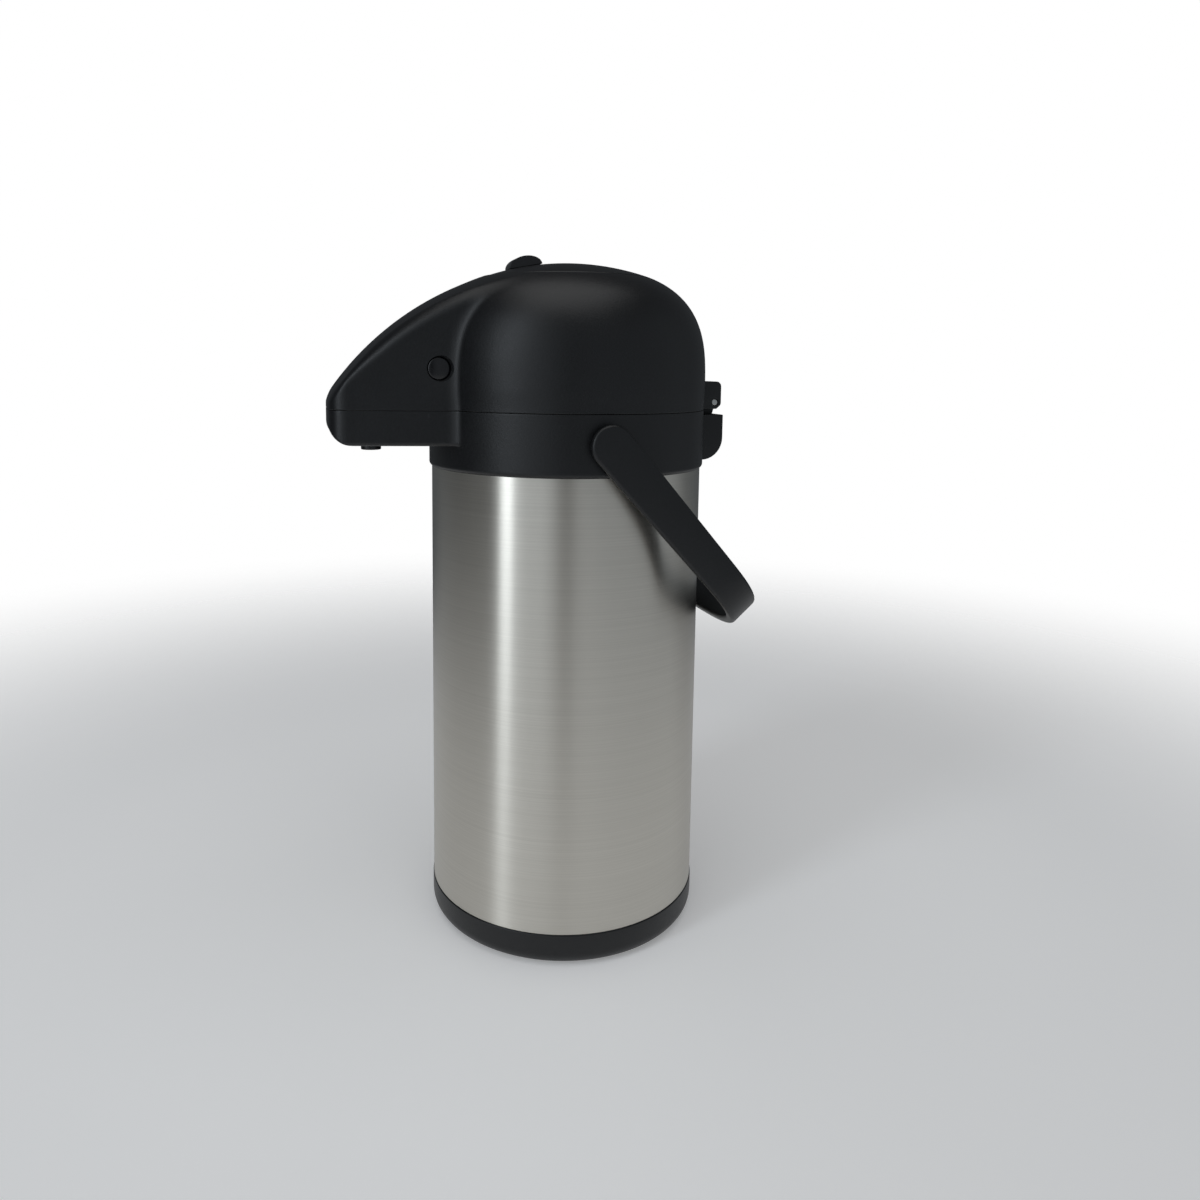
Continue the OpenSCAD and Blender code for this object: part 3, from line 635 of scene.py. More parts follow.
def natural_polypropylene():
    material = new_material("polypropylene_extruded_natural")
    place = add(material, "TexCoord").outputs["Object"]
    cloud = add(material, "TexNoise", {"Scale": 1 / (6 * mm), "Detail": 3.0}, {"Vector": place})
    tone = two_tones(material, cloud.outputs["Fac"], "d2ccbb", "e2ddd0")
    gloss = add(material, "MapRange", {"To Min": 0.28, "To Max": 0.4}, {"Value": cloud.outputs["Fac"]})
    bump = add(material, "Bump", {"Strength": 0.25, "Distance": 0.04 * mm}, {"Height": cloud.outputs["Fac"]})
    shader = add(material, "BsdfPrincipled", {"IOR": 1.49, "Subsurface Weight": 0.15,
        "Subsurface Scale": 0.002},
        {"Base Color": tone.outputs["Color"], "Roughness": gloss.outputs["Result"],
        "Normal": bump.outputs["Normal"]})
    return close_material(material, shader)


ivory = natural_polypropylene()
tube_y = -17.0
tube_low, tube_high = (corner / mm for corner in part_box("dip_tube"))
dip_tube = turned("dip_tube_pipe", [(3, tube_low.z, 0.3), (4, tube_low.z, 0.3), (4, tube_high.z, 0.3),
    (3, tube_high.z, 0.3)], 48, lifted(0, tube_y, 0))

forward = Matrix.Rotation(math.pi / 2, 4, "X")
hose_low, hose_high = (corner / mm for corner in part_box("spout_hose"))
hose = turned("spout_hose_tube", [(3.3, -hose_high.y, 0.4), (4.8, -hose_high.y, 0.5), (4.8, -hose_low.y, 0.5),
    (3.3, -hose_low.y, 0.4)], 48, lifted(0, 0, spout_z) @ forward)
for part, node in ((dip_tube, "dip_tube"), (hose, "spout_hose")):
    part.data.materials.append(ivory)
    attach(part, "body")
    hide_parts(node)

elbow = turned("tube_elbow_moulding", [(2.2, spout_z - 8, 0), (4.05, spout_z - 8.2, 0), (4.05, spout_z - 14,
    0.3),
    (5.6, spout_z - 14, 0.6), (5.6, spout_z + 4.8, 2.5), (0, spout_z + 4.8, 0), (0, spout_z + 3, 0),
    (2.2, spout_z + 3, 1)], 48, lifted(0, tube_y, 0))
arm = turned("elbow_arm", [(2.2, 20, 0), (4.2, 20, 0), (4.2, 48.5, 0.6), (3.2, 48.5, 0.4), (2.9, 52, 0.2),
    (3.2, 52.2, 0.2), (2.7, 56, 0.4), (2.2, 56, 0.2)], 48, lifted(0, 0, spout_z) @ forward)
join(elbow, arm)
elbow.data.materials.clear()
elbow.data.materials.append(inner_black)
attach(elbow, "body")
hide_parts("tube_elbow")

seal_low, seal_high = (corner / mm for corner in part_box("elbow_seal"))
elbow_seal = turned("elbow_seal_ring", [(4.25, -seal_high.y, 0.35), (seal_high.x, -seal_high.y, 0.35),
    (seal_high.x, -seal_low.y, 0.35), (4.25, -seal_low.y, 0.35)], 48, lifted(0, 0, spout_z) @ forward)
elbow_seal.data.materials.append(rubber)
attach(elbow_seal, "body")
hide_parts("elbow_seal")

nozzle_y = -112.5
nozzle = turned("spout_nozzle_moulding", [(3.4, beak_floor - 4, 0.5), (5.5, beak_floor - 4, 0.6),
    (5.5, inner_floor, 0), (8, inner_floor, 0), (8, inner_floor + 1.6, 0.5), (5.5, inner_floor + 1.6, 0.5),
    (5.5, beak_floor + 13, 1.5), (0, beak_floor + 13, 0), (0, beak_floor + 10.5, 0), (3.4,
    beak_floor + 10.5, 1)],
    64, lifted(0, nozzle_y, 0))
barb = turned("nozzle_barb", [(2.2, 101, 0.2), (2.9, 101, 0.3), (3.2, 103.2, 0.2), (2.9, 103.6, 0.1),
    (3.2, 106, 0.2), (3.2, 109, 0), (2.2, 109, 0)], 32, lifted(0, 0, spout_z) @ forward)
join(nozzle, barb)
nozzle.data.materials.clear()
nozzle.data.materials.append(inner_black)
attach(nozzle, "body")
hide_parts("spout_nozzle")


# ---- Hinge bracket and pin ----
# A moulded bracket behind the collar, held by two screws from inside. Its tongue stands up
# between the two cheeks of the lid's lug, and a drawn steel pin goes through all three.

sideways = Matrix(((0, 0, 1, 0), (1, 0, 0, 0), (0, 1, 0, 0), (0, 0, 0, 1)))
bracket_low, bracket_high = (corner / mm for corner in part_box("hinge_bracket"))
pin_low, pin_high = (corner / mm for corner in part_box("hinge_pin"))
hinge_y, hinge_z = (pin_low.y + pin_high.y) / 2, (pin_low.z + pin_high.z) / 2
half_hinge = bracket_high.x
tongue = 9.0

bracket_outline = rounded([(78.6, bracket_low.z, 0), (bracket_high.y, bracket_low.z, 13),
    (bracket_high.y, seam - 3.6, 0.5), (78.6, seam - 3.6, 0)])
bracket = soften(prism("hinge_bracket_moulding", bracket_outline, 2 * half_hinge,
    sideways @ lifted(0, 0, -half_hinge)), 0.9, 4)
tongue_outline = rounded([(83.1, seam - 5, 0), (hinge_y + 1.6, seam - 5, 0), (hinge_y + 3.9, hinge_z - 1, 2),
    (hinge_y + 3.9, hinge_z + 3.9, 3.8), (hinge_y - 3.9, hinge_z + 3.9, 3.8), (83, hinge_z - 1, 1)])
tongue_block = prism("tongue", tongue_outline, 2 * tongue, sideways @ lifted(0, 0, -tongue))
soften(tongue_block, 0.5)
join(bracket, tongue_block)
bracket.data.materials.clear()
bracket.data.materials.append(black_grained)
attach(bracket, "body")
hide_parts("hinge_bracket")

pin = turned("hinge_pin_rod", [(0, pin_low.x, 0), (2, pin_low.x, 0.7), (2, pin_high.x, 0.7), (0, pin_high.x,
    0)],
    48, lifted(0, hinge_y, hinge_z) @ across)
pin.data.materials.append(bright_steel)
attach(pin, "body")
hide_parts("hinge_pin")

inner_face = math.sqrt((collar_r - wall) ** 2 - 100) - 1.2
hinge_screws = screws("hinge_screws_set", [lifted(x, inner_face, seam - 19) @ forward for x in (-10, 10)],
    3, 1.4, 1.5, 11)
hinge_screws.data.materials.append(bright_steel)
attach(hinge_screws, "body")
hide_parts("hinge_screws")


# ---- Handle ----
# A bail moulded in the same grained polypropylene: a flat strap in one wide bow, with round
# ends on two pegs that snap into the collar. Spring clips hold the pegs from inside.

handle_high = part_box("handle")[1] / mm
handle_half, handle_reach, droop = handle_high.x, 136.0, math.radians(48.5)
arm_thick, grip_thick, arm_half, grip_half = 4.5, 6.2, 11.2, 8.8
straight = 92.0


def bow(half_width, out):
    """Half of the bow in its own plane: straight arms, then a superellipse to the middle."""
    return [(half_width * math.cos(t) ** (2 / 3.1), straight + (out - straight) * math.sin(t) ** (2 / 2.5))
        for t in np.linspace(0, math.pi / 2, 56)]


def bow_outline(half_width, out):
    half = [(half_width, -arm_half - 2)] + bow(half_width, out)
    return half + [(-x, y) for x, y in reversed(half) if x > 0.01]


handle = prism("handle_bail", bow_outline(handle_half, handle_reach)
    + list(reversed(bow_outline(handle_half - arm_thick, handle_reach - grip_thick))), 30, lifted(0, 0, -15))
taper = math.atan((arm_half - grip_half) / handle_reach)
ends = [(-arm_half * math.sin(t), -arm_half * math.cos(t)) for t in np.linspace(taper, math.pi - taper, 48)]
strap = prism("strap", [(handle_reach + 4, -grip_half), (handle_reach + 4, grip_half)] + ends[::-1], 220,
    sideways @ lifted(0, 0, -110))
only(handle)
meet = handle.modifiers.new("strap", "BOOLEAN")
meet.operation = "INTERSECT"
meet.solver = "EXACT"
meet.object = strap
bpy.ops.object.modifier_apply(modifier=meet.name)
bpy.data.objects.remove(strap)
soften(handle, 2.0, 5, 40)
handle.data.transform(lifted(0, 0, pivot_z) @ Matrix.Rotation(-droop, 4, "X"))
inner_half = handle_half - arm_thick
pegs = [turned("handle_peg", [(0, 72, 0), (5, 72, 0.6), (5, 72.6, 0), (4, 72.6, 0), (4, 73.8, 0), (5, 73.8,
    0),
    (5, inner_half + 1, 0), (0, inner_half + 1, 0)], 48,
    lifted(0, 0, pivot_z) @ Matrix.Rotation(side * math.pi / 2, 4, "Y")) for side in (-1, 1)]
join(handle, *pegs)
handle.data.materials.clear()
handle.data.materials.append(black_grained)
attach(handle, "handle")
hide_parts("handle")

clips = [turned("handle_clips_pair", [(4.05, 72.7, 0.1), (7.5, 72.7, 0.3), (7.5, 73.7, 0.3), (4.05, 73.7,
    0.1)],
    48, lifted(0, 0, pivot_z) @ Matrix.Rotation(side * math.pi / 2, 4, "Y")) for side in (-1, 1)]
join(*clips)
clips[0].data.materials.append(bright_steel)
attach(clips[0], "handle")
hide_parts("handle_clips")


# ---- Lid shell ----
# The dome and the top of the beak are one moulding, with a generous fillet where the beak
# leaves the dome. The push pad runs in the round guide that hangs in its opening.

pad_low, pad_high = (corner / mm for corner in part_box("push_pad"))
opening_r = pad_high.x + 0.5
belt_r, belt_z, dome_top = 80.0, seam + 13.5, seam + 80.3
nose_edge, long_edge = 3.5, 7.0
arc_s, arc_z, arc_r, crown_r = -2.6, seam - 84, 165.9, 125.0


def dome_reach(levels, inset=0.0):
    """Radius of the dome at each level: upright to its belt, then a superellipse over the top."""
    rise = np.clip((levels - belt_z) / (dome_top - belt_z - inset), 0, 1)
    skirt = collar_r + (belt_r - collar_r) * smooth_step(levels, lid_low.z, belt_z)
    return (skirt - inset) * (1 - rise ** 2.92) ** (1 / 2.72)


def beak_top(x, s, inset=0.0):
    """Height of the beak's top: one long arc, crowned across, with rounded edges."""
    height = arc_z + np.sqrt(np.maximum((arc_r - inset) ** 2 - (s - arc_s) ** 2, 0)) - x * x / (2 * crown_r)
    depth = plan_depth(x, s, inset)
    radius = long_edge + (nose_edge - long_edge) * smooth_step(s, 108, 132)
    drop = radius - np.sqrt(np.maximum(radius ** 2 - np.clip(radius - depth, 0, radius) ** 2, 0))
    return np.where(depth < 0, -1e3, height - drop)


def lid_reach(angle, levels, inset=0.0):
    beak = beak_reach_at(angle, lambda x, s: beak_top(x, s, inset), levels)
    return blend_max(dome_reach(levels, inset), beak, fillet)


lid_foot = lid_low.z + 0.3
levels = np.arange(lid_foot, dome_top, 0.1)
back_reach = dome_reach(levels)
steps = np.hypot(np.diff(levels), np.diff(back_reach)) * (1 + 1.2 * (levels[1:] < lid_foot + 8))
length = np.concatenate([[0], np.cumsum(steps)])
rim_r = opening_r + 0.6
rim_at = length[np.argmax(back_reach < rim_r)]
outer_parts = np.interp(np.linspace(0, rim_at, 128), length, levels) - lid_foot
outer_parts = outer_parts / outer_parts[-1]
inner_parts = np.linspace(1, 0, 34)
guide_foot = 321.9
columns = []
for angle in column_angles:
    reach_out = lid_reach(angle, levels)
    rim_z = levels[np.argmax(reach_out < rim_r)]
    outer_z = lid_foot + 0.25 + (rim_z - lid_foot - 0.25) * outer_parts
    outer = np.interp(outer_z, levels, reach_out)
    reach_in = lid_reach(angle, levels, wall)
    roof_z = levels[np.argmax(reach_in < opening_r + 2.2)]
    inner_z = lid_foot + 0.3 + (roof_z - lid_foot - 0.3) * inner_parts
    inner = np.interp(inner_z, levels, reach_in)
    columns.append([(outer[0] - 0.25, lid_foot), (outer[0] - 0.08, lid_foot + 0.08)]
        + list(zip(outer, outer_z))
        + [(opening_r + 0.2, rim_z + 0.02), (opening_r, rim_z - 0.35), (opening_r, 355), (opening_r, 338),
           (opening_r, guide_foot + 0.4), (opening_r + 0.4, guide_foot), (opening_r + 1.6, guide_foot),
           (opening_r + 2, guide_foot + 0.4), (opening_r + 2, 345)]
        + list(zip(inner, inner_z)) + [(inner[-1] + 0.3, lid_foot)])
lid_shell = loft("lid_shell_moulding", columns)

latch_s, latch_z = 79.5, seam + 22.2
for side in (-1, 1):
    cut(lid_shell, turned("button_hole", [(0, 26, 0), (6.35, 26, 0), (6.35, 34.6, 0), (7.4, 36.4, 0), (7.4,
        44, 0),
        (0, 44, 0)], 64, lifted(0, -latch_s, latch_z) @ Matrix.Rotation(side * math.pi / 2, 4, "Y")))
smooth(lid_shell, 40)

# The lug at the back that the hinge pin goes through, with a gap for the bracket's tongue
lug_outline = rounded([(77.5, lid_low.z, 0), (hinge_y + 1, lid_low.z, 0.6), (hinge_y + 3.9, hinge_z - 1.5,
    2.6),
    (hinge_y + 3.9, seam + 16, 3), (76.5, seam + 16, 0)])
lug = prism("hinge_lug", lug_outline, 2 * half_hinge, sideways @ lifted(0, 0, -half_hinge))
cut(lug, prism("tongue_gap", [(-tongue - 0.4, 82.3), (tongue + 0.4, 82.3), (tongue + 0.4, 95),
    (-tongue - 0.4, 95)],
    13.4, lifted(0, 0, seam - 5)))
cut(lug, turned("pin_hole", [(0, -30, 0), (2.1, -30, 0), (2.1, 30, 0), (0, 30, 0)], 32,
    lifted(0, hinge_y, hinge_z) @ across))
soften(lug, 0.6, 3, 50)
guides = [turned("button_guide", [(6.35, 30.2, 0), (8, 30.2, 0.5), (8, 33.6, 0), (6.35, 33.6, 0)], 48,
    lifted(0, -latch_s, latch_z) @ Matrix.Rotation(side * math.pi / 2, 4, "Y")) for side in (-1, 1)]
join(lid_shell, lug, *guides)
lid_shell.data.materials.clear()
lid_shell.data.materials.append(black_grained)
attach(lid_shell, "lid")
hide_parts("lid_shell")


# ---- Lid plate, its screws, gasket and valve ----
# The plate closes the lid from below and carries the bellows. Four screws hold it to bosses
# in the shell. The gasket seals on the funnel's rim, and the valve lets air down only.

plate_low, plate_high = (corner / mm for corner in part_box("lid_plate"))
plate_z, plate_top = plate_low.z, plate_low.z + 2.4
rim_points = []
for angle in column_angles:
    out = beak_reach_at(angle, lambda x, s: np.where(plan_depth(x, s, wall + 0.4) > 0, 0.0, -1e3),
        np.array([0.0]))
    r = max(collar_r - wall - 0.4, float(out[0]))
    rim_points.append((r * math.sin(angle), -r * math.cos(angle)))
lid_plate = prism("lid_plate_moulding", rim_points, 2.4, lifted(0, 0, plate_z))
for side in (-1, 1):
    cut(lid_plate, prism("hook_window", [(-5.5, -6), (5.5, -6), (5.5, 6), (-5.5, 6)], 12,
        lifted(side * 27.5, -latch_s, plate_z - 5)))
cut(lid_plate, turned("valve_hole", [(0, 290, 0), (4, 290, 0), (4, 310, 0), (0, 310, 0)], 48))
soften(lid_plate, 0.4, 2, 60)
seat = turned("spring_seat", [(23.6, plate_z + 1, 0), (26, plate_z + 1, 0), (26, plate_z + 10.4, 0.6),
    (23.6, plate_z + 10.4, 0.6)])
recess = turned("valve_well", [(10, plate_z - 0.9, 0.4), (11.4, plate_z - 0.9, 0.4), (11.4, plate_z + 0.5, 0),
    (10, plate_z + 0.5, 0)], 64)
post = soften(prism("spring_post", [(-3, -5), (3, -5), (3, 5), (-3, 5)], plate_high.z - plate_z,
    lifted(0, -latch_s, plate_z)), 0.5)
ribs = [soften(prism("plate_rib", [(52, -0.8), (66, -0.8), (66, 0.8), (52, 0.8)], 0.8,
    Matrix.Rotation(math.radians(a), 4, "Z") @ lifted(0, 0, plate_z - 0.7)), 0.3) for a in range(0, 360, 30)
    if a != 270]
join(lid_plate, seat, recess, post, *ribs)
lid_plate.data.materials.clear()
lid_plate.data.materials.append(inner_black)
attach(lid_plate, "lid")
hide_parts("lid_plate")

lid_screws = screws("lid_screws_set", [Matrix.Rotation(math.radians(a), 4, "Z") @ lifted(70, 0,
    plate_z) @ flip
    for a in (35, 145, 235, 305)], 3, 1.3, 1.5, 14)
lid_screws.data.materials.append(bright_steel)
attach(lid_screws, "lid")
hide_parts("lid_screws")

rim_z = funnel_high.z
lid_gasket = turned("lid_gasket_ring", [(36, plate_z, 0), (36, plate_z - 1.2, 0.5), (42, rim_z + 0.3, 0.8),
    (43.6, rim_z + 0.9, 0.4), (47.6, rim_z + 0.9, 0.4), (49, rim_z + 0.3, 0.8), (50, plate_z, 0)])
air_valve = turned("air_valve_disc", [(0, plate_z - 3.4, 0), (3.6, plate_z - 3.4, 0.6), (5, plate_z - 1.8,
    0.4),
    (3.2, plate_z - 1.8, 0), (3.2, plate_top + 0.05, 0), (8, plate_top + 0.05, 0.4), (7, plate_top + 1.45,
    0.4),
    (0, plate_top + 1.45, 0)], 64)

# The bellows that the push pad squeezes: five soft folds in the same rubber
bellows_low, bellows_high = (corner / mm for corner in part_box("bellows"))
folds = 5
pitch = (bellows_high.z - bellows_low.z) / folds
outer_wall = [(43 - (k % 2) * 7, bellows_low.z + k * pitch / 2, 1.2 if 0 < k < 2 * folds else 0)
    for k in range(2 * folds + 1)]
bellows = turned("bellows_boot", outer_wall + [(r - 1.9, z, 1.0 if rounding else 0)
    for r, z, rounding in reversed(outer_wall)], 128)
for part, node in ((lid_gasket, "lid_gasket"), (air_valve, "air_valve"), (bellows, "bellows")):
    part.data.materials.append(rubber)
    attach(part, "lid")
    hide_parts(node)
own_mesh(bellows)


# ---- Springs ----
# Drawn steel wire wound cold: a wide spring that lifts the push pad, and two small ones that
# push the release buttons out.

def spring(name, radius, wire, height, turns, place):
    """A coil along +Z from the place's origin, with a round wire and closed ends."""
    sides, count = 12, 28 * turns
    points = []
    for i in range(count + 1):
        a = turn * turns * i / count
        rise = wire + (height - 2 * wire) * i / count
        for k in range(sides):
            b = turn * k / sides
            out = radius + wire * math.cos(b)
            points.append((out * math.cos(a), out * math.sin(a), rise + wire * math.sin(b)))
    faces = [(i * sides + k, i * sides + (k + 1) % sides, (i + 1) * sides + (k + 1) % sides,
        (i + 1) * sides + k)
        for i in range(count) for k in range(sides)]
    faces += [tuple(range(sides)), tuple(range(count * sides, (count + 1) * sides))]
    piece = mesh_object(name, points, [], faces)
    bpy.ops.object.mode_set(mode="EDIT")
    bpy.ops.mesh.select_all(action="SELECT")
    bpy.ops.mesh.normals_make_consistent(inside=False)
    bpy.ops.object.mode_set(mode="OBJECT")
    piece.data.transform(place)
    smooth(piece, 50)
    piece.data.materials.append(bright_steel)
    return piece


bellows_spring = spring("bellows_spring_coil", 21, 1.1, bellows_high.z - plate_top - 0.2, 6,
    lifted(0, 0, plate_top + 0.1))
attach(bellows_spring, "lid")
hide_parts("bellows_spring")
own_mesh(bellows_spring)
for side, hand in ((1, "left"), (-1, "right")):
    small = spring("latch_spring_coil_" + hand, 3.3, 0.4, 23.9, 8,
        lifted(side * 3.05, -latch_s, latch_z) @ Matrix.Rotation(side * math.pi / 2, 4, "Y"))
    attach(small, "lid")
    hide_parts("latch_spring_" + hand)
    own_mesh(small)


# ---- Bellows plate and push pad ----
# The pad is a crowned disc with a deep skirt that runs in the lid's guide. Under it a stiff
# natural plate spreads the push over the bellows. Its edge leaves a thin dark seam.

lift_plate = turned("bellows_plate_disc", [(2.5, bellows_high.z, 0.3), (44, bellows_high.z, 0.5),
    (44, bellows_high.z + 2, 0.5), (2.5, bellows_high.z + 2, 0.3)])
lift_ring = turned("bellows_plate_ring", [(22.6, bellows_high.z - 6, 0.5), (24.5, bellows_high.z - 6, 0.5),
    (24.5, bellows_high.z + 0.5, 0), (22.6, bellows_high.z + 0.5, 0)])
join(lift_plate, lift_ring)
lift_plate.data.materials.clear()
lift_plate.data.materials.append(ivory)
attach(lift_plate, "pad")
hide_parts("bellows_plate")

pad_r, pad_top = pad_high.x, pad_high.z
pad_crown = 8.6
crown_sphere = (pad_r ** 2 + pad_crown ** 2) / (2 * pad_crown)


def crown_z(r, drop=0.0):
    return pad_top - crown_sphere + math.sqrt((crown_sphere - drop) ** 2 - r * r)


knob_s, tilt = 26.0, math.radians(11)
knob_frame = lifted(0, -knob_s, crown_z(knob_s)) @ Matrix.Rotation(tilt, 4, "X")
push_pad = turned("push_pad_cap", [(r, crown_z(r), 0) for r in np.linspace(0, pad_r - 2, 22)]
    + [(pad_r, crown_z(pad_r), 1.1), (pad_r, pad_low.z, 0.5), (pad_r - 3, pad_low.z, 0.5)]
    + [(pad_r - 3, crown_z(pad_r - 3, 3), 1.5)] + [(r, crown_z(r, 3), 0) for r in np.linspace(pad_r - 6, 0,
    16)],
    steps=192)
recess = prism("knob_recess", [(-7.2, -19.6), (7.2, -19.6), (7.2, 11.6), (-7.2, 11.6)], 12,
    knob_frame @ lifted(0, 0, -0.5))
only(recess)
cut(push_pad, soften(recess, 1.6, 4, 60))
cut(push_pad, prism("stem_slot", [(-2.8, -13.4), (2.8, -13.4), (2.8, 5.4), (-2.8, 5.4)], 12,
    knob_frame @ lifted(0, 0, -8)))
smooth(push_pad, 35)
push_pad.data.materials.append(black_grained)
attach(push_pad, "pad")
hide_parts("push_pad")


# ---- Lock knob and foot ----
# A glossy sliding knob on the pad, with a rounded top, snapped through the slot
# to a natural foot under the pad.

def gloss_moulding():
    material = new_material("polypropylene_moulded_polished")
    place = add(material, "TexCoord").outputs["Object"]
    wear = add(material, "TexNoise", {"Scale": 1 / (3 * mm), "Detail": 4.0}, {"Vector": place})
    tone = two_tones(material, wear.outputs["Fac"], "0b0b0d", "121215", 0.3, 0.75)
    gloss = add(material, "MapRange", {"To Min": 0.16, "To Max": 0.26}, {"Value": wear.outputs["Fac"]})
    bump = add(material, "Bump", {"Strength": 0.15, "Distance": 0.03 * mm}, {"Height": wear.outputs["Fac"]})
    shader = add(material, "BsdfPrincipled", {"IOR": 1.49}, {"Base Color": tone.outputs["Color"],
        "Roughness": gloss.outputs["Result"], "Normal": bump.outputs["Normal"]})
    return close_material(material, shader)


knob_side = [(-9.5, -0.1), (9.5, -0.1)] + [(9.5 * math.cos(t), 5.8 * math.sin(t)) for t in np.linspace(0.03,
    3.11, 48)]
knob = soften(prism("lock_knob_slider", knob_side, 13, knob_frame @ sideways @ lifted(0, 0, -6.5)), 1.6, 5,
    45)
stem = prism("knob_stem", [(-2.5, -5), (2.5, -5), (2.5, 5), (-2.5, 5)], 5, knob_frame @ lifted(0, 0, -4.6))
join(knob, soften(stem, 0.4))
knob.data.materials.clear()
polished_black = gloss_moulding()
knob.data.materials.append(polished_black)
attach(knob, "knob")
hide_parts("lock_knob")

foot = soften(prism("lock_foot_plate", [(-5.5, -8), (5.5, -8), (5.5, 8), (-5.5, 8)], 1.5,
    knob_frame @ lifted(0, 0, -6.1)), 0.4)
foot.data.materials.append(ivory)
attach(foot, "knob")
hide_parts("lock_foot")


# ---- Lid release buttons ----
# A round button in each side of the beak with a slightly domed face. Each carries a hook
# that reaches down through the lid plate; both are squeezed to open the lid.

for side, hand in ((1, "left"), (-1, "right")):
    place = lifted(0, -latch_s, latch_z) @ Matrix.Rotation(side * math.pi / 2, 4, "Y")
    button = turned("latch_button_" + hand + "_cap", [(0, 29, 0), (6, 29, 0.3), (6, 34.6, 1.0),
        (0, 35.9, 0)], 64, place)
    stem = turned("button_stem", [(0, 24, 0), (2, 24, 0.4), (2, 29.2, 0), (0, 29.2, 0)], 32, place)
    ledge_z = seam - 3.6
    hook = prism("button_hook", rounded([(27, ledge_z - 3, 0.5), (31.4, ledge_z - 3, 0.8), (31.4,
        ledge_z - 0.8, 0.4),
        (29.02, ledge_z - 0.8, 0.3), (29.02, latch_z + 7, 0.5), (27, latch_z + 7, 0.5)]), 9,
        Matrix(((side, 0, 0, 0), (0, 0, 1, 0), (0, 1, 0, 0), (0, 0, 0, 1))) @ lifted(0, 0, -latch_s - 4.5))
    join(button, stem, soften(hook, 0.3, 2, 50))
    only(button)
    bpy.ops.object.mode_set(mode="EDIT")
    bpy.ops.mesh.select_all(action="SELECT")
    bpy.ops.mesh.normals_make_consistent(inside=False)
    bpy.ops.object.mode_set(mode="OBJECT")
    button.data.materials.clear()
    button.data.materials.append(polished_black)
    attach(button, "latch_" + hand)
    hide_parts("latch_button_" + hand)


# ---- Floor, light and camera ----
# A plain pale floor and a white room, softly lit. A tall window to the left of the camera makes
# the streak on the steel, and the walls are lighter and darker by turns round the room.

bpy.ops.mesh.primitive_circle_add(vertices=128, radius=6, fill_type="NGON", location=(0, 0, 0))
floor = bpy.context.object
floor.name = "floor"
pale = new_material("floor_painted_pale")
floor_place = add(pale, "TexCoord").outputs["Object"]
floor_noise = add(pale, "TexNoise", {"Scale": 3.0, "Detail": 2.0}, {"Vector": floor_place})
floor_tone = add(pale, "ValToRGB", {}, {"Fac": floor_noise.outputs["Fac"]})
floor_tone.color_ramp.elements[0].color = linear("f0f0f0")
floor_tone.color_ramp.elements[1].color = linear("f4f4f4")
paint = add(pale, "BsdfPrincipled", {"Roughness": 0.7, "Emission Strength": 0.25}, {
    "Base Color": floor_tone.outputs["Color"], "Emission Color": floor_tone.outputs["Color"]})
from_middle = add(pale, "VectorMath", {"operation": "LENGTH"}, {0: floor_place})
fade = add(pale, "MapRange", {"interpolation_type": "SMOOTHSTEP", "From Min": 0.35, "From Max": 1.1},
    {"Value": from_middle.outputs["Value"]})
clear = add(pale, "BsdfTransparent")
close_material(pale, add(pale, "MixShader", {}, {0: fade.outputs["Result"], 1: paint.outputs[0],
    2: clear.outputs[0]}))
floor.data.materials.append(pale)

view_turn = math.radians(74)
world = bpy.data.worlds.new("white_room")
bpy.context.scene.world = world
world.use_nodes = True
world.node_tree.nodes.clear()
gaze = add(world, "TexCoord").outputs["Generated"]
ahead = add(world, "VectorMath", {"operation": "DOT_PRODUCT", 1: (math.sin(view_turn), -math.cos(view_turn),
    0)}, {0: gaze})
aside = add(world, "VectorMath", {"operation": "DOT_PRODUCT", 1: (-math.cos(view_turn),
    -math.sin(view_turn), 0)}, {0: gaze})
bearing = add(world, "Math", {"operation": "ARCTAN2"}, {0: aside.outputs["Value"], 1: ahead.outputs["Value"]})
turn = add(world, "MapRange", {"From Min": -math.pi, "From Max": math.pi}, {"Value": bearing.outputs[0]})
walls = add(world, "ValToRGB", {}, {"Fac": turn.outputs["Result"]})
walls.color_ramp.elements.remove(walls.color_ramp.elements[1])
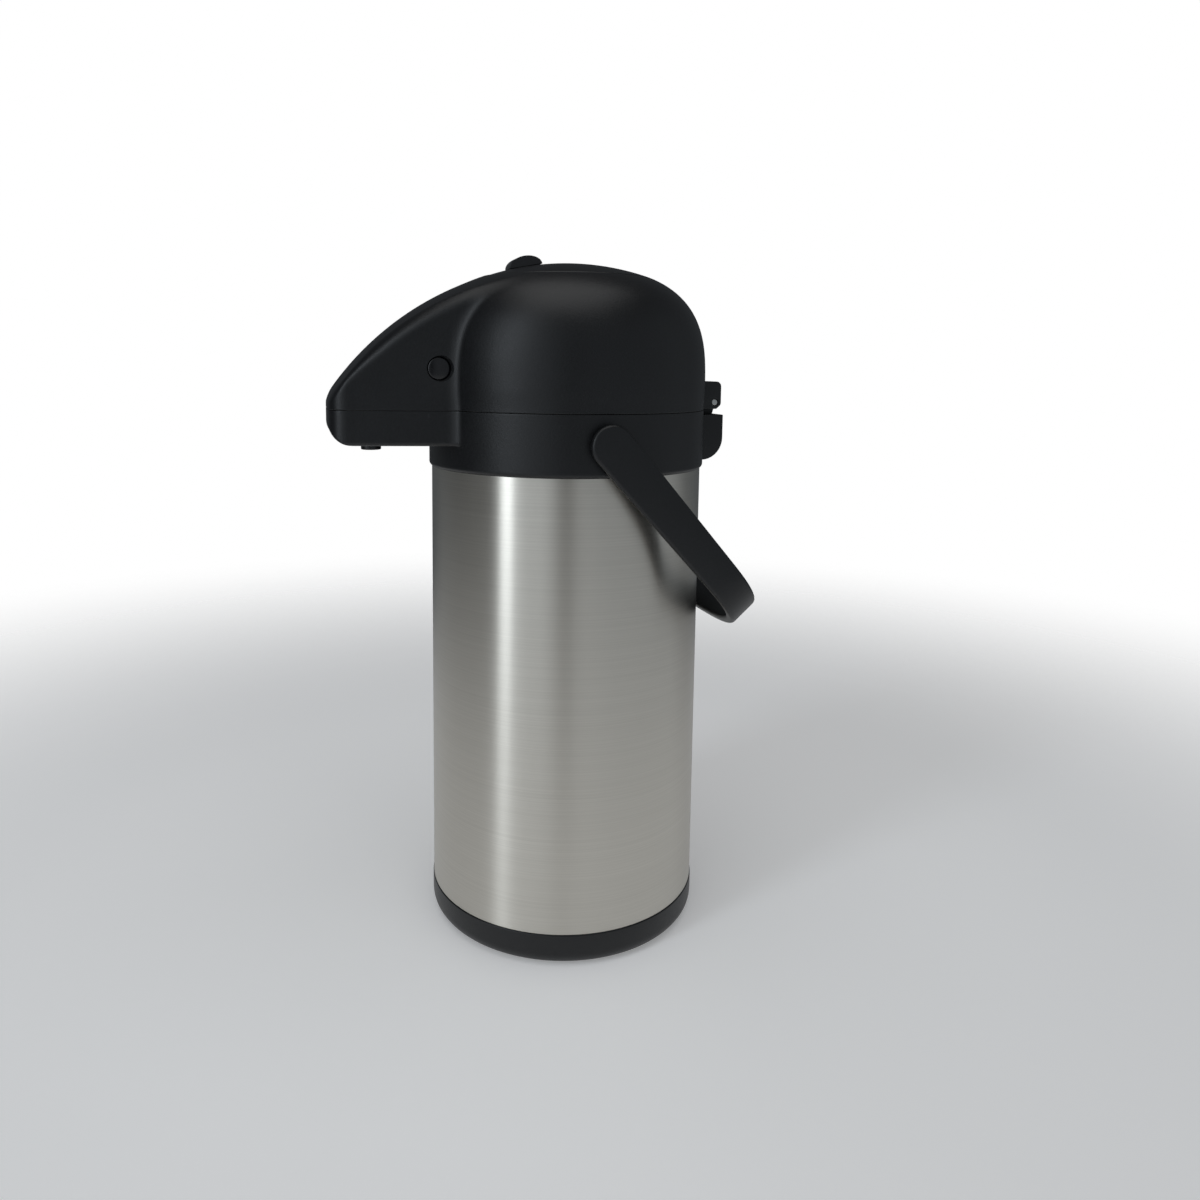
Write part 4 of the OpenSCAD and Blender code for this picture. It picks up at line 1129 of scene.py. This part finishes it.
# How bright the room is, by the bearing from the camera to its left
for place, (degrees, bright) in enumerate(((-180, 0.08), (-120, 0.14), (-100, 0.3), (-18, 0.34), (-9, 0.28),
    (-4, 0.1),
        (3, 0.12), (10, 0.4), (18, 0.6), (36, 0.6), (58, 0.22), (66, 0.05), (100, 0.06), (125, 0.12), (180,
        0.08))):
    stop = walls.color_ramp.elements[0] if place == 0 else walls.color_ramp.elements.new(degrees / 360 + 0.5)
    stop.position = degrees / 360 + 0.5
    stop.color = (0.86 * bright, 0.93 * bright, bright, 1)
height = add(world, "SeparateXYZ", {}, {0: gaze})
shade = add(world, "MapRange", {"From Min": 0.5, "From Max": 0.8, "To Min": 1.0, "To Max": 0.35},
    {"Value": height.outputs["Z"]})
lit = add(world, "Background", {}, {"Color": walls.outputs["Color"], "Strength": shade.outputs["Result"]})
seen = add(world, "Background", {"Color": (1, 1, 1, 1)})
path = add(world, "LightPath")
mix = add(world, "MixShader", {}, {0: path.outputs["Is Camera Ray"], 1: lit.outputs[0], 2: seen.outputs[0]})
add(world, "OutputWorld", {}, {"Surface": mix.outputs[0]})


def softbox(name, bearing, distance, height, width, tall, power, colour):
    """An area light that faces the object. The bearing is measured from the camera, to its left."""
    light = bpy.data.lights.new(name, "AREA")
    light.shape = "RECTANGLE"
    light.size, light.size_y = width, tall
    light.energy = power
    light.color = colour
    holder = bpy.data.objects.new(name, light)
    bpy.context.scene.collection.objects.link(holder)
    angle = view_turn - math.radians(bearing)
    holder.location = (distance * math.sin(angle), -distance * math.cos(angle), height)
    holder.rotation_mode = "QUATERNION"
    holder.rotation_quaternion = (Vector((0, 0, 0.2)) - holder.location).to_track_quat("-Z", "Y")


softbox("window", 48.5, 1.8, 0.9, 0.36, 1.9, 7.8, (0.86, 0.93, 1.0))
softbox("ceiling", 10, 0.25, 2.1, 1.8, 1.8, 11, (1.0, 1.0, 1.0))

camera_distance, camera_height, camera_dip, camera_roll = 0.550, 0.3207, 0.11, 0.01
camera = bpy.data.objects.new("camera", bpy.data.cameras.new("camera"))
bpy.context.scene.collection.objects.link(camera)
camera.matrix_world = Matrix.Translation((camera_distance * math.sin(view_turn),
    -camera_distance * math.cos(view_turn), camera_height)) @ Matrix.Rotation(view_turn, 4,
    "Z") @ Matrix.Rotation(
    math.pi / 2 - camera_dip, 4, "X") @ Matrix.Rotation(camera_roll, 4, "Z")
camera.data.sensor_width = 36
camera.data.lens = 28.155
camera.data.shift_x = 0.0286
camera.data.shift_y = -0.108
camera.data.clip_start = 0.01
bpy.context.scene.camera = camera
bpy.context.scene.view_settings.view_transform = "Standard"
